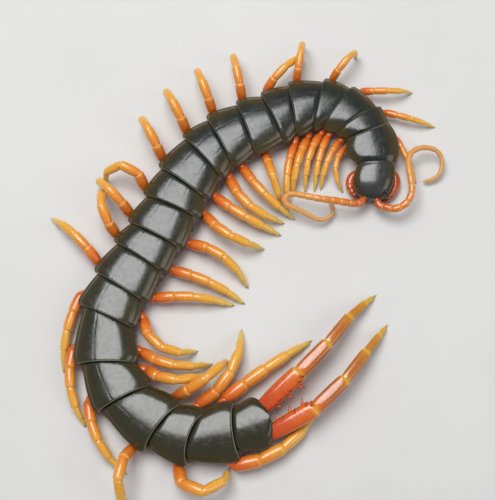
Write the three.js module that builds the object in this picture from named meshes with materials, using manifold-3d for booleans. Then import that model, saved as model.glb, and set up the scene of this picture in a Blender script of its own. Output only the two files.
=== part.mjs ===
// Giant centipede, life size, lying bent like a hook, as a still museum model.
//
// Millimetres, +Z up. The floor is z = 0, the feet stand on it, and the origin lies on the floor under
// the middle of the animal's outline. +X is to the right and +Y away from the viewer.
//
// The trunk is a chain of 21 segments laid out from the neck to the tail. Every ring of it, every leg
// and both antennae take their place from that chain, so a change of one segment moves all it carries.

import * as THREE from 'three';
import { mergeVertices } from 'three/addons/utils/BufferGeometryUtils.js';
import Module from 'manifold-3d';

const wasm = await Module();
wasm.setup();

// Gap between two solids that touch on the animal, and the level of the floor.
const GAP = 0.3;
const FLOOR = 0;

// Points nearer than this to a neighbour or to the line of an edge are dropped after a union.
const LEAST_STEP = 0.02;

// Middle of the whole outline, seen from above, in the frame that the chain is laid out in.
const ORIGIN = { x: -0.22, y: -2.76 };

// Where the neck lies in that frame: the front edge of the first body plate.
const NECK = { x: 27.8, y: 18.0 };

// Back plates from the neck to the tail: length along the back, full width, and the direction towards
// the tail in degrees, counted from +X. The short plates are 2, 4, 6, 9, 11, 13, 15, 17 and 19.
const PLATES = [
  { length: 6.6, width: 10.4, heading: 102 },
  { length: 3.8, width: 11.4, heading: 123 },
  { length: 5.2, width: 12.0, heading: 145 },
  { length: 4.2, width: 12.5, heading: 168 },
  { length: 5.8, width: 13.0, heading: 189 },
  { length: 4.8, width: 13.4, heading: 205 },
  { length: 6.2, width: 13.8, heading: 200 },
  { length: 6.4, width: 14.0, heading: 208 },
  { length: 5.2, width: 14.0, heading: 222 },
  { length: 7.1, width: 14.0, heading: 234 },
  { length: 5.8, width: 14.0, heading: 245 },
  { length: 7.1, width: 14.0, heading: 242 },
  { length: 5.8, width: 14.0, heading: 237 },
  { length: 7.4, width: 14.0, heading: 238 },
  { length: 6.7, width: 13.8, heading: 246 },
  { length: 9.7, width: 13.6, heading: 271 },
  { length: 8.3, width: 13.0, heading: 297 },
  { length: 9.5, width: 13.0, heading: 323 },
  { length: 6.8, width: 12.4, heading: 341 },
  { length: 8.6, width: 12.4, heading: 367 },
  { length: 6.9, width: 10.8, heading: 378 },
];
const HEAD_HEADING = 80;

// Cross-section of the trunk: heights of the belly, of the plates' side rims and of their crown.
const BELLY = 0.9;
const RIM = 4.3;
const CROWN = 6.5;
const RIM_SINK_SHARE = 0.4;
const END_SINK = 0.7;
const SINK_FROM = { neck: 3, tail: 17 };

// Share of its length over which each segment takes up the turn from the one before it.
const TURN_SHARE = 0.85;

// Half of the cross-section, from the middle of the back to the middle of the belly: share of the
// half width, then height above or below one of the levels above.
const BACK_PROFILE = [[0, 0], [0.42, -0.2], [0.78, -0.8]];
const RIM_PROFILE = [[1.0, 0], [0.92, -0.5]];
const FLANK_PROFILE = [[0.93, 1.7], [0.74, 0.35], [0.45, 0.05], [0, 0]];

// Rings of one segment: place along it, width against its plate, and how far the back sinks there.
const SEGMENT_RINGS = [
  { at: 0.0, wide: 0.84, sink: 0.55 },
  { at: 0.3, wide: 0.94, sink: 0.15 },
  { at: 0.65, wide: 1.0, sink: 0.0 },
  { at: 0.92, wide: 0.99, sink: 0.0 },
  { at: 1.0, wide: 0.94, sink: 0.05 },
];

// Trunk lengths: the first and last segment of each.
const TRUNK_LENGTHS = [
  [1, 2], [3, 4], [5, 6], [7, 8], [9, 10], [11, 12], [13, 14], [15, 16], [17, 18], [19, 21],
];

// Walking legs: lengths and thicknesses of the pieces of a full-size leg, from the body outwards.
const LEG_PIECES = [
  { length: 4.0, root: 1.9, middle: 2.5, end: 2.2 },
  { length: 4.1, root: 1.8, middle: 2.3, end: 2.0 },
  { length: 4.2, root: 1.6, middle: 2.0, end: 1.7 },
  { length: 2.6, root: 1.4, middle: 1.4, end: 1.2 },
  { length: 1.7, root: 1.0, middle: 0.9, end: 0.6 },
];
const LEG_SIDES = 6;

// Legs grow from the neck to the tail: size and thickness of the first leg and of the twentieth.
const FIRST_LEG = { size: 0.66, girth: 0.6, fullSizeAt: 8, fullGirthAt: 9 };
const REAR_LEG = { from: 16, size: 1.28, girth: 1.22 };

// Hips: height and distance out of the leg's root, share of the leg's turn and rise that they take.
const LEG_ROOT_HEIGHT = 2.4;
const LEG_ROOT_OUT = 0.5;
const HIP_SHARE = { turn: 0.5, rise: 0.4, most: 25 };
const COXA_DIAMETER = 2.3;
const COXA_LENGTH = 1.8;
const LONG_PIECES = 3;
const JOINT_STEP = 0.18;
const MIDDLE_AT = 0.6;

// How far the middle of a foot's end lies below the floor before it is cut.
const FOOT_DEPTH = 0.12;

// Bend of the leg joint by joint: share of the downward fold and of the turn that each piece has taken.
const MOST_FOLD = 60;
const FOLD_STEPS = 40;
const FOLD_SHARE = [0, 0.9, 2.0, 3.0, 3.5];
const HEADING_SHARE = [0, 1 / 3, 2 / 3, 1, 1];

// Pose of each walking leg, 1 to 20: the turn of its first piece and of its foot towards the tail,
// away from straight out, and the rise of its first piece, all in degrees, then the share of its
// segment's length at which it stands, where that isn't the usual one.
const LEG_PLACE = 0.74;
const LEFT_POSES = [
  [-75, -80, 10], [-50, -40, 10], [-60, -40, 20], [-30, -20, 50], [-20, -10, 50],
  [-68, -68, 40], [-12, -5, 48], [-8, -4, 55], [-15, -10, 55], [-28, -20, 55],
  [-38, 78, 50], [-22, -12, 55], [-25, -60, 55], [-20, -2, 20], [93, 112, 4],
  [86, 118, 8], [78, 112, 10], [12, 60, 58, 0.82], [42, 185, 45, 0.94], [95, 140, 5, 0.96],
];
const RIGHT_POSES = [
  [-45, -110, 15], [-40, -60, 15, 0.25], [-20, -36, 10, 0.57], [0, -24, 15, 0.3], [22, 10, 25, 0.5],
  [35, 13, 10, 0.45], [6, 0, 52], [-5, -31, 20], [15, -36, 20], [2, -16, 15],
  [25, -20, 30], [-10, 30, 20], [-15, 0, 10], [-35, -20, 10], [45, -40, 30, 0.62],
  [30, -15, 25, 0.76], [50, -15, 45, 0.5], [35, -5, 48, 0.9], [35, -15, 15, 0.9], [60, 65, 5, 0.9],
];

// The last pair of legs, thick and spiny: pieces, direction of each piece in degrees from +X, and rise.
const LAST_LEG_PIECES = [
  { length: 10.4, root: 3.0, middle: 4.1, end: 3.9 },
  { length: 8.2, root: 3.0, middle: 3.3, end: 3.0 },
  { length: 7.4, root: 2.4, middle: 2.6, end: 2.4 },
  { length: 5.2, root: 1.9, middle: 1.8, end: 1.5 },
  { length: 2.4, root: 1.2, middle: 1.1, end: 0.6 },
];
const LAST_LEG_SIDES = 8;
const LAST_LEG_HEADINGS = { left: [28, 43, 52, 52, 53], right: [42, 45, 51, 43, 39] };
const LAST_LEG_RISE = 9;
const LAST_LEG_OUT = 2.7;
const LAST_LEG_HEIGHT = 3.1;

// Spines of the last legs: rows round the first piece, counted up from its inner side in degrees,
// and the stretch of the piece that each row covers. The large spine stands on its far inner corner.
const SPINE_ROWS = [
  { angle: 55, from: 0.34, to: 0.86, count: 3 },
  { angle: 8, from: 0.22, to: 0.8, count: 3 },
  { angle: -45, from: 0.3, to: 0.78, count: 2 },
];
const SPINE = { length: 1.1, sunk: 0.9, base: 0.75, tip: 0.16, sides: 5, lean: 0.35 };
const CORNER_SPINE = { angle: 62, at: 0.95, length: 1.6, base: 1.0 };

// Overhang of the last back plate over the roots of the last legs, and the points beneath it.
const OVERHANG = [
  { behind: -1.2, wide: 0.68, drop: 0 },
  { behind: 0, wide: 0.68, drop: 0 },
  { behind: 0.8, wide: 0.52, drop: 0.1 },
  { behind: 1.4, wide: 0.26, drop: 0.25 },
];
const OVERHANG_UNDERSIDE = 4.95;
const OVERHANG_PROFILE = { shoulder: [0.6, -0.2], edge: [1, 0.1], underside: [0.9, -0.1] };
const TAIL_POINT = { out: 0.55, height: 1.5, length: 1.5, sunk: 1, base: 0.9, tip: 0.3, sides: 5 };

// Head: length, and rings from the front to the neck with half width and height of the crown.
const HEAD_LENGTH = 8.0;
const HEAD_RINGS = [
  { at: 0.0, half: 1.7, crown: 4.0, floor: 2.7 },
  { at: 0.07, half: 2.7, crown: 4.6, floor: 2.4 },
  { at: 0.22, half: 3.65, crown: 5.2, floor: 2.2 },
  { at: 0.45, half: 4.25, crown: 5.7, floor: 2.2 },
  { at: 0.72, half: 4.25, crown: 5.85, floor: 2.2 },
  { at: 0.92, half: 3.95, crown: 5.8, floor: 2.2 },
  { at: 1.0, half: 3.7, crown: 5.7, floor: 2.2 },
];
const NOTCH_DEPTH = 0.35;

// Half of the head's cross-section: the shield from its crown to its edge, then the cheeks below it.
const SHIELD_PROFILE = [[0, 0], [0.45, -0.15], [0.8, -0.65], [1.0, -1.7]];
const CHEEK_PROFILE = [[0.9, 0.7], [0.66, 0.1], [0, 0]];

// Eyes, four at each front corner of the head: way back from the front, way out, and height.
const EYE = { radius: 0.34, sunk: 0.1 };
const EYE_PLACES = [[0.9, 3.2, 4.35], [1.35, 3.55, 4.45], [1.05, 2.95, 4.85], [1.5, 3.25, 4.9]];

// Plate under the head that carries the poison claws, with its two rows of teeth.
const CLAW_PLATE_RINGS = [
  { at: 0.27, half: 1.5 },
  { at: 0.4, half: 2.4 },
  { at: 0.68, half: 2.8 },
  { at: 1.0, half: 2.9 },
];
const CLAW_PLATE = { top: 1.85, bottom: 0.6, flat: 0.78 };
const TOOTH = {
  places: [0.35, 0.8, 1.25], height: 1.3, length: 1.2, showing: 0.6, base: 0.55, tip: 0.2, sides: 5,
};
const CLAW_STUB = { length: 1.2, diameter: 1.44 };

// Poison claw: way out to the side, way back from the head's front, height and thickness.
const POISON_CLAW = [
  [3.45, 6.6, 1.3, 1.7], [4.2, 6.1, 1.4, 2.0], [4.75, 5.0, 1.4, 2.1], [4.75, 3.5, 1.4, 2.0],
  [4.2, 2.1, 1.35, 1.7], [3.2, 1.0, 1.3, 1.4], [2.0, 0.4, 1.25, 1.0], [0.5, 0.1, 1.15, 0.35],
];
const POISON_CLAW_SIDES = 7;

// Antennae: sockets on the head, then hand-picked points of each route, and the pieces along it.
const SOCKET = { out: 1.4, back: -0.1, height: 3.42, spread: 30, length: 1.9, diameter: 1.8, lead: 0.8 };
const ANTENNA_ROUTES = {
  right: [
    [22.6, 8.8, 4.0], [20.8, 8.9, 4.6], [18.6, 9.2, 5.0], [15.5, 9.6, 5.3], [12.5, 10.3, 5.2],
    [10.6, 10.8, 5.0], [9.1, 10.8, 4.8], [8.2, 9.9, 4.5], [8.6, 8.8, 4.2], [9.9, 8.2, 3.9],
    [12.0, 7.3, 3.4], [14.0, 6.3, 2.8], [15.8, 5.8, 2.2], [17.4, 6.4, 1.8], [18.4, 7.7, 1.5],
    [18.4, 9.1, 1.3], [17.5, 10.2, 1.2],
  ],
  left: [
    [29.6, 7.9, 3.6], [31.1, 7.4, 4.0], [32.8, 7.8, 4.3], [34.2, 9.0, 4.5], [35.0, 10.8, 4.7],
    [35.0, 13.0, 4.8], [34.7, 15.3, 4.8], [34.6, 17.6, 4.6], [35.3, 19.7, 4.3], [37.0, 20.8, 4.0],
    [39.2, 21.0, 3.6], [41.0, 20.4, 3.1], [41.9, 18.9, 2.5], [41.9, 16.9, 2.0], [41.0, 15.3, 1.6],
    [39.4, 14.5, 1.3], [37.8, 14.2, 1.1],
  ],
};
const ANTENNA = {
  pieces: 18, root: 1.8, tip: 0.85, sides: 7, waist: 0.84, rimAt: 0.82, endTaper: 0.5, baseShare: 0.5,
};

const SHELL_COLOUR = 0x3a4038;
const HEAD_COLOUR = 0x4a5354;
const LEG_COLOUR = 0xe08a2c;
const RED_COLOUR = 0xc8501e;
const PLATE_COLOUR = 0xa8501c;
const ANTENNA_COLOUR = 0xd27a2e;

const rad = (degrees) => THREE.MathUtils.degToRad(degrees);
const lerp = THREE.MathUtils.lerp;
const clamp = THREE.MathUtils.clamp;

/** Direction in the floor's plane, `degrees` round from +X. */
function flatDirection(degrees) {
  return new THREE.Vector3(Math.cos(rad(degrees)), Math.sin(rad(degrees)), 0);
}

/** Direction that points round by `heading` and up by `rise`, both in degrees. */
function risingDirection(heading, rise) {
  const direction = flatDirection(heading).multiplyScalar(Math.cos(rad(rise)));
  direction.z = Math.sin(rad(rise));
  return direction;
}

/** Closed surface through rings of equally many points, with a flat fan over each end. */
function loft(rings) {
  const count = rings[0].length;
  const points = rings.flat();
  const index = [];
  for (let ring = 0; ring + 1 < rings.length; ring += 1) {
    for (let k = 0; k < count; k += 1) {
      const a = ring * count + k;
      const b = ring * count + ((k + 1) % count);
      index.push(a, b, b + count, a, b + count, a + count);
    }
  }
  const last = (rings.length - 1) * count;
  for (let k = 1; k + 1 < count; k += 1) {
    index.push(0, k + 1, k);
    index.push(last, last + k, last + k + 1);
  }
  const geometry = new THREE.BufferGeometry().setFromPoints(points);
  geometry.setIndex(index);
  return geometry;
}

/** Solid for joining and cutting, made from a closed indexed geometry; turned right side out. */
function solid(geometry) {
  const vertProperties = new Float32Array(geometry.attributes.position.array);
  const triVerts = new Uint32Array(geometry.index.array);
  const made = new wasm.Manifold(new wasm.Mesh({ numProp: 3, vertProperties, triVerts }));
  if (made.volume() > 0) {
    return made;
  }
  for (let t = 0; t < triVerts.length; t += 3) {
    [triVerts[t + 1], triVerts[t + 2]] = [triVerts[t + 2], triVerts[t + 1]];
  }
  return new wasm.Manifold(new wasm.Mesh({ numProp: 3, vertProperties, triVerts }));
}

/** One closed body out of several: their union, cut level at the floor, rid of scraps and slivers. */
function fuse(solids) {
  let whole = solids[0];
  for (const piece of solids.slice(1)) {
    whole = whole.add(piece);
  }
  whole = whole.trimByPlane([0, 0, 1], FLOOR);
  const pieces = whole.decompose();
  const largest = pieces.reduce((best, piece) => (piece.volume() > best.volume() ? piece : best));
  return largest.asOriginal().simplify(LEAST_STEP);
}

/** Ring of `sides` points round `centre` at `radius`, in the plane across `axis`. */
function ringAcross(centre, axis, radius, sides) {
  const side = new THREE.Vector3(0, 0, 1).cross(axis).normalize();
  const up = new THREE.Vector3().crossVectors(axis, side);
  return Array.from({ length: sides }, (_, k) => {
    const angle = (2 * Math.PI * k) / sides;
    return centre.clone()
      .addScaledVector(side, radius * Math.cos(angle))
      .addScaledVector(up, radius * Math.sin(angle));
  });
}

/** Tapered stub from `start` along `axis`, closed at both ends. */
function stub(start, axis, length, diameterStart, diameterEnd, sides) {
  const end = start.clone().addScaledVector(axis, length);
  return loft([
    ringAcross(start, axis, diameterStart / 2, sides),
    ringAcross(end, axis, diameterEnd / 2, sides),
  ]);
}

/** Chain of the trunk: the middle of each plate's front edge, from the neck to the tail. */
function layOutChain() {
  const points = [new THREE.Vector3(NECK.x, NECK.y, 0)];
  for (const plate of PLATES) {
    points.push(points.at(-1).clone().addScaledVector(flatDirection(plate.heading), plate.length));
  }
  return points;
}

const CHAIN = layOutChain();

/** Place at a share `at` of segment `number`: point on the floor, tailward and left directions. */
function trunkPlace(number, at) {
  const plate = PLATES[number - 1];
  const neckHeading = (HEAD_HEADING + plate.heading) / 2;
  const before = number > 1 ? PLATES[number - 2].heading : neckHeading;
  const heading = lerp(before, plate.heading, clamp(at / TURN_SHARE, 0, 1));
  const point = CHAIN[number - 1].clone().lerp(CHAIN[number], at);
  const tailward = flatDirection(heading);
  const left = new THREE.Vector3(tailward.y, -tailward.x, 0);
  return { point, tailward, left, heading };
}

/** How far the back has sunk towards the tail end at segment `number`. */
function sinkAt(number) {
  const towardsTail = (number - SINK_FROM.tail) / (PLATES.length - SINK_FROM.tail);
  const towardsNeck = (SINK_FROM.neck - number) / (SINK_FROM.neck - 1);
  return END_SINK * (clamp(towardsTail, 0, 1) + clamp(towardsNeck, 0, 1));
}

/** Cross-section of the trunk: 16 points round it, for a half width and a sink of the back. */
function trunkRing(place, half, sink) {
  const raised = (part, level) => part.map(([share, height]) => [share, level + height]);
  const profile = [
    ...raised(BACK_PROFILE, CROWN - sink),
    ...raised(RIM_PROFILE, RIM - RIM_SINK_SHARE * sink),
    ...raised(FLANK_PROFILE, BELLY),
  ];
  const across = (share, height) => {
    const point = place.point.clone().addScaledVector(place.left, share * half);
    point.z = height;
    return point;
  };
  const leftSide = profile.map(([share, height]) => across(share, height));
  const rightSide = profile.slice(1, -1).reverse().map(([share, height]) => across(-share, height));
  return [...leftSide, ...rightSide];
}

/** Rings of the trunk from segment `first` to `last`, in order from the front. */
function trunkRings(first, last) {
  const rings = [];
  for (let number = first; number <= last; number += 1) {
    const plate = PLATES[number - 1];
    SEGMENT_RINGS.forEach((ring, k) => {
      const place = trunkPlace(number, ring.at);
      if (k === 0 && number > 1) {
        place.point.addScaledVector(place.tailward, GAP);
      }
      rings.push(trunkRing(place, (plate.width / 2) * ring.wide, ring.sink + sinkAt(number)));
    });
  }
  return rings;
}

/** How far leg `number` is on its way from the last full-size leg to the twentieth, growing late. */
function rearShare(number) {
  return clamp((number - REAR_LEG.from) / (LEFT_POSES.length - REAR_LEG.from), 0, 1) ** 2;
}

/** Size of walking leg `number` against a full-size one: small at the neck, large at the tail. */
function legScale(number) {
  const front = clamp((number - 1) / (FIRST_LEG.fullSizeAt - 1), 0, 1);
  return lerp(FIRST_LEG.size, 1, front) * lerp(1, REAR_LEG.size, rearShare(number));
}

/** Thickness of walking leg `number` against a full-size one. */
function legGirth(number) {
  const front = clamp((number - 1) / (FIRST_LEG.fullGirthAt - 1), 0, 1);
  return lerp(FIRST_LEG.girth, 1, front) * lerp(1, REAR_LEG.girth, rearShare(number));
}

/** Root of walking leg `number` on `side` (+1 left, -1 right): point, hip's direction, and pose. */
function legRoot(number, side) {
  const [turn, footTurn, rise, at = LEG_PLACE] = (side > 0 ? LEFT_POSES : RIGHT_POSES)[number - 1];
  const place = trunkPlace(number, at);
  const half = PLATES[number - 1].width / 2;
  const outward = place.left.clone().multiplyScalar(side);
  const outHeading = THREE.MathUtils.radToDeg(Math.atan2(outward.y, outward.x));
  const point = place.point.clone().addScaledVector(outward, half + LEG_ROOT_OUT);
  point.z = LEG_ROOT_HEIGHT;
  const hipTurn = clamp(turn * HIP_SHARE.turn, -HIP_SHARE.most, HIP_SHARE.most);
  const axis = risingDirection(outHeading + side * hipTurn, rise * HIP_SHARE.rise);
  const heading = (share) => outHeading + side * lerp(turn, footTurn, share);
  return { point, axis, heading, rise };
}

/** Joints of a leg: its root, then the end of each piece, for directions given piece by piece. */
function legJoints(root, directions, pieces, scale) {
  const joints = [root.clone()];
  directions.forEach((direction, k) => {
    joints.push(joints.at(-1).clone().addScaledVector(direction, pieces[k].length * scale));
  });
  return joints;
}

/** Directions of the pieces of a leg that rises by `rise` and then bends down by `fold` in shares. */
function legDirections(headings, rise, fold) {
  return headings.map((heading, k) => risingDirection(heading, rise - fold * FOLD_SHARE[k]));
}

/** Fold that brings the foot a little below the floor, where it is cut flat. */
function footFold(root, headings, rise, pieces, scale) {
  const footHeight = (fold) => {
    const directions = legDirections(headings, rise, fold);
    return legJoints(root, directions, pieces, scale).at(-1).z;
  };
  let low = 0;
  let high = MOST_FOLD;
  for (let step = 0; step < FOLD_STEPS; step += 1) {
    const middle = (low + high) / 2;
    if (footHeight(middle) > FLOOR - FOOT_DEPTH) {
      low = middle;
    } else {
      high = middle;
    }
  }
  return (low + high) / 2;
}

/** Leg as one closed surface: a ring at the root, middle and end of each piece, narrow at the joints. */
function legSurface(joints, directions, pieces, girth, sides, rootAxis) {
  const rings = [];
  const jointStep = JOINT_STEP * girth;
  pieces.forEach((piece, k) => {
    const direction = directions[k];
    const isFirst = k === 0;
    const isLast = k === pieces.length - 1;
    const before = isFirst ? rootAxis : directions[k - 1].clone().add(direction).normalize();
    const after = isLast ? direction : directions[k + 1].clone().add(direction).normalize();
    const start = joints[k].clone().addScaledVector(direction, isFirst ? 0 : jointStep);
    const end = joints[k + 1].clone().addScaledVector(direction, isLast ? 0 : -jointStep);
    const middle = joints[k].clone().lerp(joints[k + 1], MIDDLE_AT);
    const addRing = (centre, axis, diameter) => {
      rings.push(ringAcross(centre, axis, (diameter * girth) / 2, sides));
    };
    addRing(start, before, piece.root);
    if (k < LONG_PIECES) {
      addRing(middle, direction, piece.middle);
    }
    addRing(end, after, piece.end);
  });
  return loft(rings);
}

/** Walking leg `number` on `side`, from its root out to the claw. */
function walkingLeg(number, side) {
  const { point, axis, heading, rise } = legRoot(number, side);
  const scale = legScale(number);
  const headings = HEADING_SHARE.map(heading);
  const fold = footFold(point, headings, rise, LEG_PIECES, scale);
  const directions = legDirections(headings, rise, fold);
  const joints = legJoints(point, directions, LEG_PIECES, scale);
  return fuse([solid(legSurface(joints, directions, LEG_PIECES, legGirth(number), LEG_SIDES, axis))]);
}

/** Hip of walking leg `number` on `side`: a stub from inside the trunk to the leg's root. */
function hip(number, side) {
  const { point, axis } = legRoot(number, side);
  const girth = legGirth(number);
  const start = point.clone().addScaledVector(axis, -GAP - COXA_LENGTH);
  const rootDiameter = LEG_PIECES[0].root * girth;
  return solid(stub(start, axis, COXA_LENGTH, COXA_DIAMETER * girth, rootDiameter, LEG_SIDES));
}

/** Rear overhang of the last back plate and the two points under it. */
function tailEnd() {
  const last = PLATES.length;
  const place = trunkPlace(last, 1);
  const half = PLATES[last - 1].width / 2;
  const rings = OVERHANG.map(({ behind, wide, drop }) => {
    const crown = CROWN - sinkAt(last) - drop;
    const { shoulder, edge, underside } = OVERHANG_PROFILE;
    const profile = [
      [0, crown],
      [shoulder[0], crown + shoulder[1]],
      [edge[0], OVERHANG_UNDERSIDE + edge[1]],
      [underside[0], OVERHANG_UNDERSIDE + underside[1]],
    ];
    const across = ([share, height]) => {
      const point = place.point.clone()
        .addScaledVector(place.tailward, behind)
        .addScaledVector(place.left, share * wide * half);
      point.z = height;
      return point;
    };
    const mirrored = profile.slice(1).reverse().map(([share, height]) => across([-share, height]));
    return [...profile.map(across), ...mirrored];
  });
  const points = [1, -1].map((side) => {
    const start = place.point.clone()
      .addScaledVector(place.left, side * TAIL_POINT.out)
      .addScaledVector(place.tailward, -TAIL_POINT.sunk);
    start.z = TAIL_POINT.height;
    const { length, sunk, base, tip, sides } = TAIL_POINT;
    return solid(stub(start, place.tailward, length + sunk, base, tip, sides));
  });
  return [solid(loft(rings)), ...points];
}

/** One length of the trunk with the hips of its legs. */
function trunkLength(first, last) {
  const pieces = [solid(loft(trunkRings(first, last)))];
  for (let number = first; number <= Math.min(last, LEFT_POSES.length); number += 1) {
    pieces.push(hip(number, 1), hip(number, -1));
  }
  if (last === PLATES.length) {
    pieces.push(...tailEnd());
  }
  return fuse(pieces);
}

/** Spine on the first piece of a last leg, at a share along it and an angle up from its inner side. */
function spine(joints, direction, side, { at, angle, length, base }) {
  const inward = new THREE.Vector3(0, 0, 1).cross(direction).normalize().multiplyScalar(side);
  const up = new THREE.Vector3().crossVectors(direction, inward).multiplyScalar(side);
  const radius = LAST_LEG_PIECES[0].middle / 2;
  const outward = inward.clone().multiplyScalar(Math.cos(rad(angle)))
    .addScaledVector(up, Math.sin(rad(angle)));
  const axis = outward.clone().addScaledVector(direction, SPINE.lean).normalize();
  const start = joints[0].clone().lerp(joints[1], at).addScaledVector(outward, radius - SPINE.sunk);
  return solid(stub(start, axis, length + SPINE.sunk, base, SPINE.tip, SPINE.sides));
}

/** Last leg on one side: a long thick leg whose first piece carries rows of spines. */
function lastLeg(sideName, side) {
  const place = trunkPlace(PLATES.length, 1);
  const root = place.point.clone()
    .addScaledVector(place.left, side * LAST_LEG_OUT)
    .addScaledVector(place.tailward, GAP);
  root.z = LAST_LEG_HEIGHT;
  const headings = LAST_LEG_HEADINGS[sideName];
  const fold = footFold(root, headings, LAST_LEG_RISE, LAST_LEG_PIECES, 1);
  const directions = legDirections(headings, LAST_LEG_RISE, fold);
  const joints = legJoints(root, directions, LAST_LEG_PIECES, 1);
  const leg = legSurface(joints, directions, LAST_LEG_PIECES, 1, LAST_LEG_SIDES, place.tailward);
  const pieces = [solid(leg)];
  for (const row of SPINE_ROWS) {
    for (let k = 0; k < row.count; k += 1) {
      const at = lerp(row.from, row.to, k / (row.count - 1));
      pieces.push(spine(joints, directions[0], side, { ...SPINE, at, angle: row.angle }));
    }
  }
  pieces.push(spine(joints, directions[0], side, CORNER_SPINE));
  return fuse(pieces);
}

/** Place on the head `back` mm behind its front: point on the floor, tailward and left directions. */
function headPlace(back) {
  const neck = trunkPlace(1, 0);
  const share = clamp(back / HEAD_LENGTH, 0, 1);
  const tailward = flatDirection(lerp(HEAD_HEADING, neck.heading, share));
  const rear = neck.point.clone().addScaledVector(neck.tailward, -GAP);
  const point = rear.addScaledVector(flatDirection(HEAD_HEADING), back - HEAD_LENGTH);
  return { point, tailward, left: new THREE.Vector3(tailward.y, -tailward.x, 0) };
}

/** Point of the head's frame: `out` to the left, `back` behind the front and `height` above the floor. */
function headPoint(out, back, height) {
  const place = headPlace(back);
  const point = place.point.clone().addScaledVector(place.left, out);
  point.z = height;
  return point;
}

/** Symmetric ring across the head, from pairs of a share of the half width and a height. */
function headRing(back, half, profile) {
  const left = profile.map(([share, height]) => headPoint(share * half, back, height));
  const mirrored = profile.slice(1, -1).reverse();
  const right = mirrored.map(([share, height]) => headPoint(-share * half, back, height));
  return [...left, ...right];
}

/** Socket of one antenna: its far end and the direction in which it opens. */
function socket(side) {
  const place = headPlace(SOCKET.back);
  const axis = place.tailward.clone().multiplyScalar(-Math.cos(rad(SOCKET.spread)))
    .addScaledVector(place.left, side * Math.sin(rad(SOCKET.spread)));
  return { axis, end: headPoint(side * SOCKET.out, SOCKET.back, SOCKET.height) };
}

/** Head: the arched shield with its front notch, the eyes at its front corners and both sockets. */
function head() {
  const rings = HEAD_RINGS.map(({ at, half, crown, floor }) => headRing(at * HEAD_LENGTH, half, [
    ...SHIELD_PROFILE.map(([share, height]) => [share, crown + height]),
    ...CHEEK_PROFILE.map(([share, height]) => [share, floor + height]),
  ]));
  rings[0][0].addScaledVector(headPlace(0).tailward, NOTCH_DEPTH);
  const pieces = [solid(loft(rings))];
  for (const side of [1, -1]) {
    const { axis, end } = socket(side);
    const start = end.clone().addScaledVector(axis, -SOCKET.length);
    pieces.push(solid(stub(start, axis, SOCKET.length, SOCKET.diameter, SOCKET.diameter, ANTENNA.sides)));
    for (const [back, out, height] of EYE_PLACES) {
      const eye = new THREE.IcosahedronGeometry(EYE.radius, 0);
      eye.deleteAttribute('normal');
      eye.deleteAttribute('uv');
      const place = headPoint(side * (out - EYE.sunk), back, height - EYE.sunk);
      pieces.push(solid(mergeVertices(eye.translate(place.x, place.y, place.z))));
    }
  }
  return fuse(pieces);
}

/** Root of one poison claw: the centre of its first ring and the direction in which it leaves. */
function poisonClawRoot(side) {
  const [[out, back, height], [nextOut, nextBack, nextHeight]] = POISON_CLAW;
  const start = headPoint(side * out, back, height);
  const axis = headPoint(side * nextOut, nextBack, nextHeight).sub(start).normalize();
  return { start, axis };
}

/** Plate under the head with its teeth and the stubs that carry the poison claws. */
function clawPlate() {
  const { top, bottom } = CLAW_PLATE;
  const rings = CLAW_PLATE_RINGS.map(({ at, half }) => headRing(at * HEAD_LENGTH, half, [
    [0, top], [CLAW_PLATE.flat, top], [1, (top + bottom) / 2], [CLAW_PLATE.flat, bottom], [0, bottom],
  ]));
  const pieces = [solid(loft(rings))];
  const front = CLAW_PLATE_RINGS[0].at * HEAD_LENGTH;
  for (const side of [1, -1]) {
    for (const out of TOOTH.places) {
      const start = headPoint(side * out, front + TOOTH.length - TOOTH.showing, TOOTH.height);
      const forward = headPlace(front).tailward.clone().negate();
      pieces.push(solid(stub(start, forward, TOOTH.length, TOOTH.base, TOOTH.tip, TOOTH.sides)));
    }
    const { start, axis } = poisonClawRoot(side);
    const { length, diameter } = CLAW_STUB;
    const inner = start.clone().addScaledVector(axis, -GAP - length);
    pieces.push(solid(stub(inner, axis, length, diameter, POISON_CLAW[0][3], POISON_CLAW_SIDES)));
  }
  return fuse(pieces);
}

/** Poison claw: a thick curved hook round the side of the head, pointed at the middle. */
function poisonClaw(side) {
  const centres = POISON_CLAW.map(([out, back, height]) => headPoint(side * out, back, height));
  const rings = POISON_CLAW.map(([, , , thickness], k) => {
    const from = centres[Math.max(k - 1, 0)];
    const to = centres[Math.min(k + 1, centres.length - 1)];
    const axis = to.clone().sub(from).normalize();
    return ringAcross(centres[k], axis, thickness / 2, POISON_CLAW_SIDES);
  });
  return fuse([solid(loft(rings))]);
}

/** Route of one antenna, from just off its socket to the tip. */
function antennaRoute(sideName, side) {
  const { axis, end } = socket(side);
  const start = end.clone().addScaledVector(axis, GAP);
  const lead = start.clone().addScaledVector(axis, SOCKET.lead);
  const points = ANTENNA_ROUTES[sideName].map(([x, y, z]) => new THREE.Vector3(x, y, z));
  return new THREE.CatmullRomCurve3([start, lead, ...points], false, 'centripetal');
}

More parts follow.
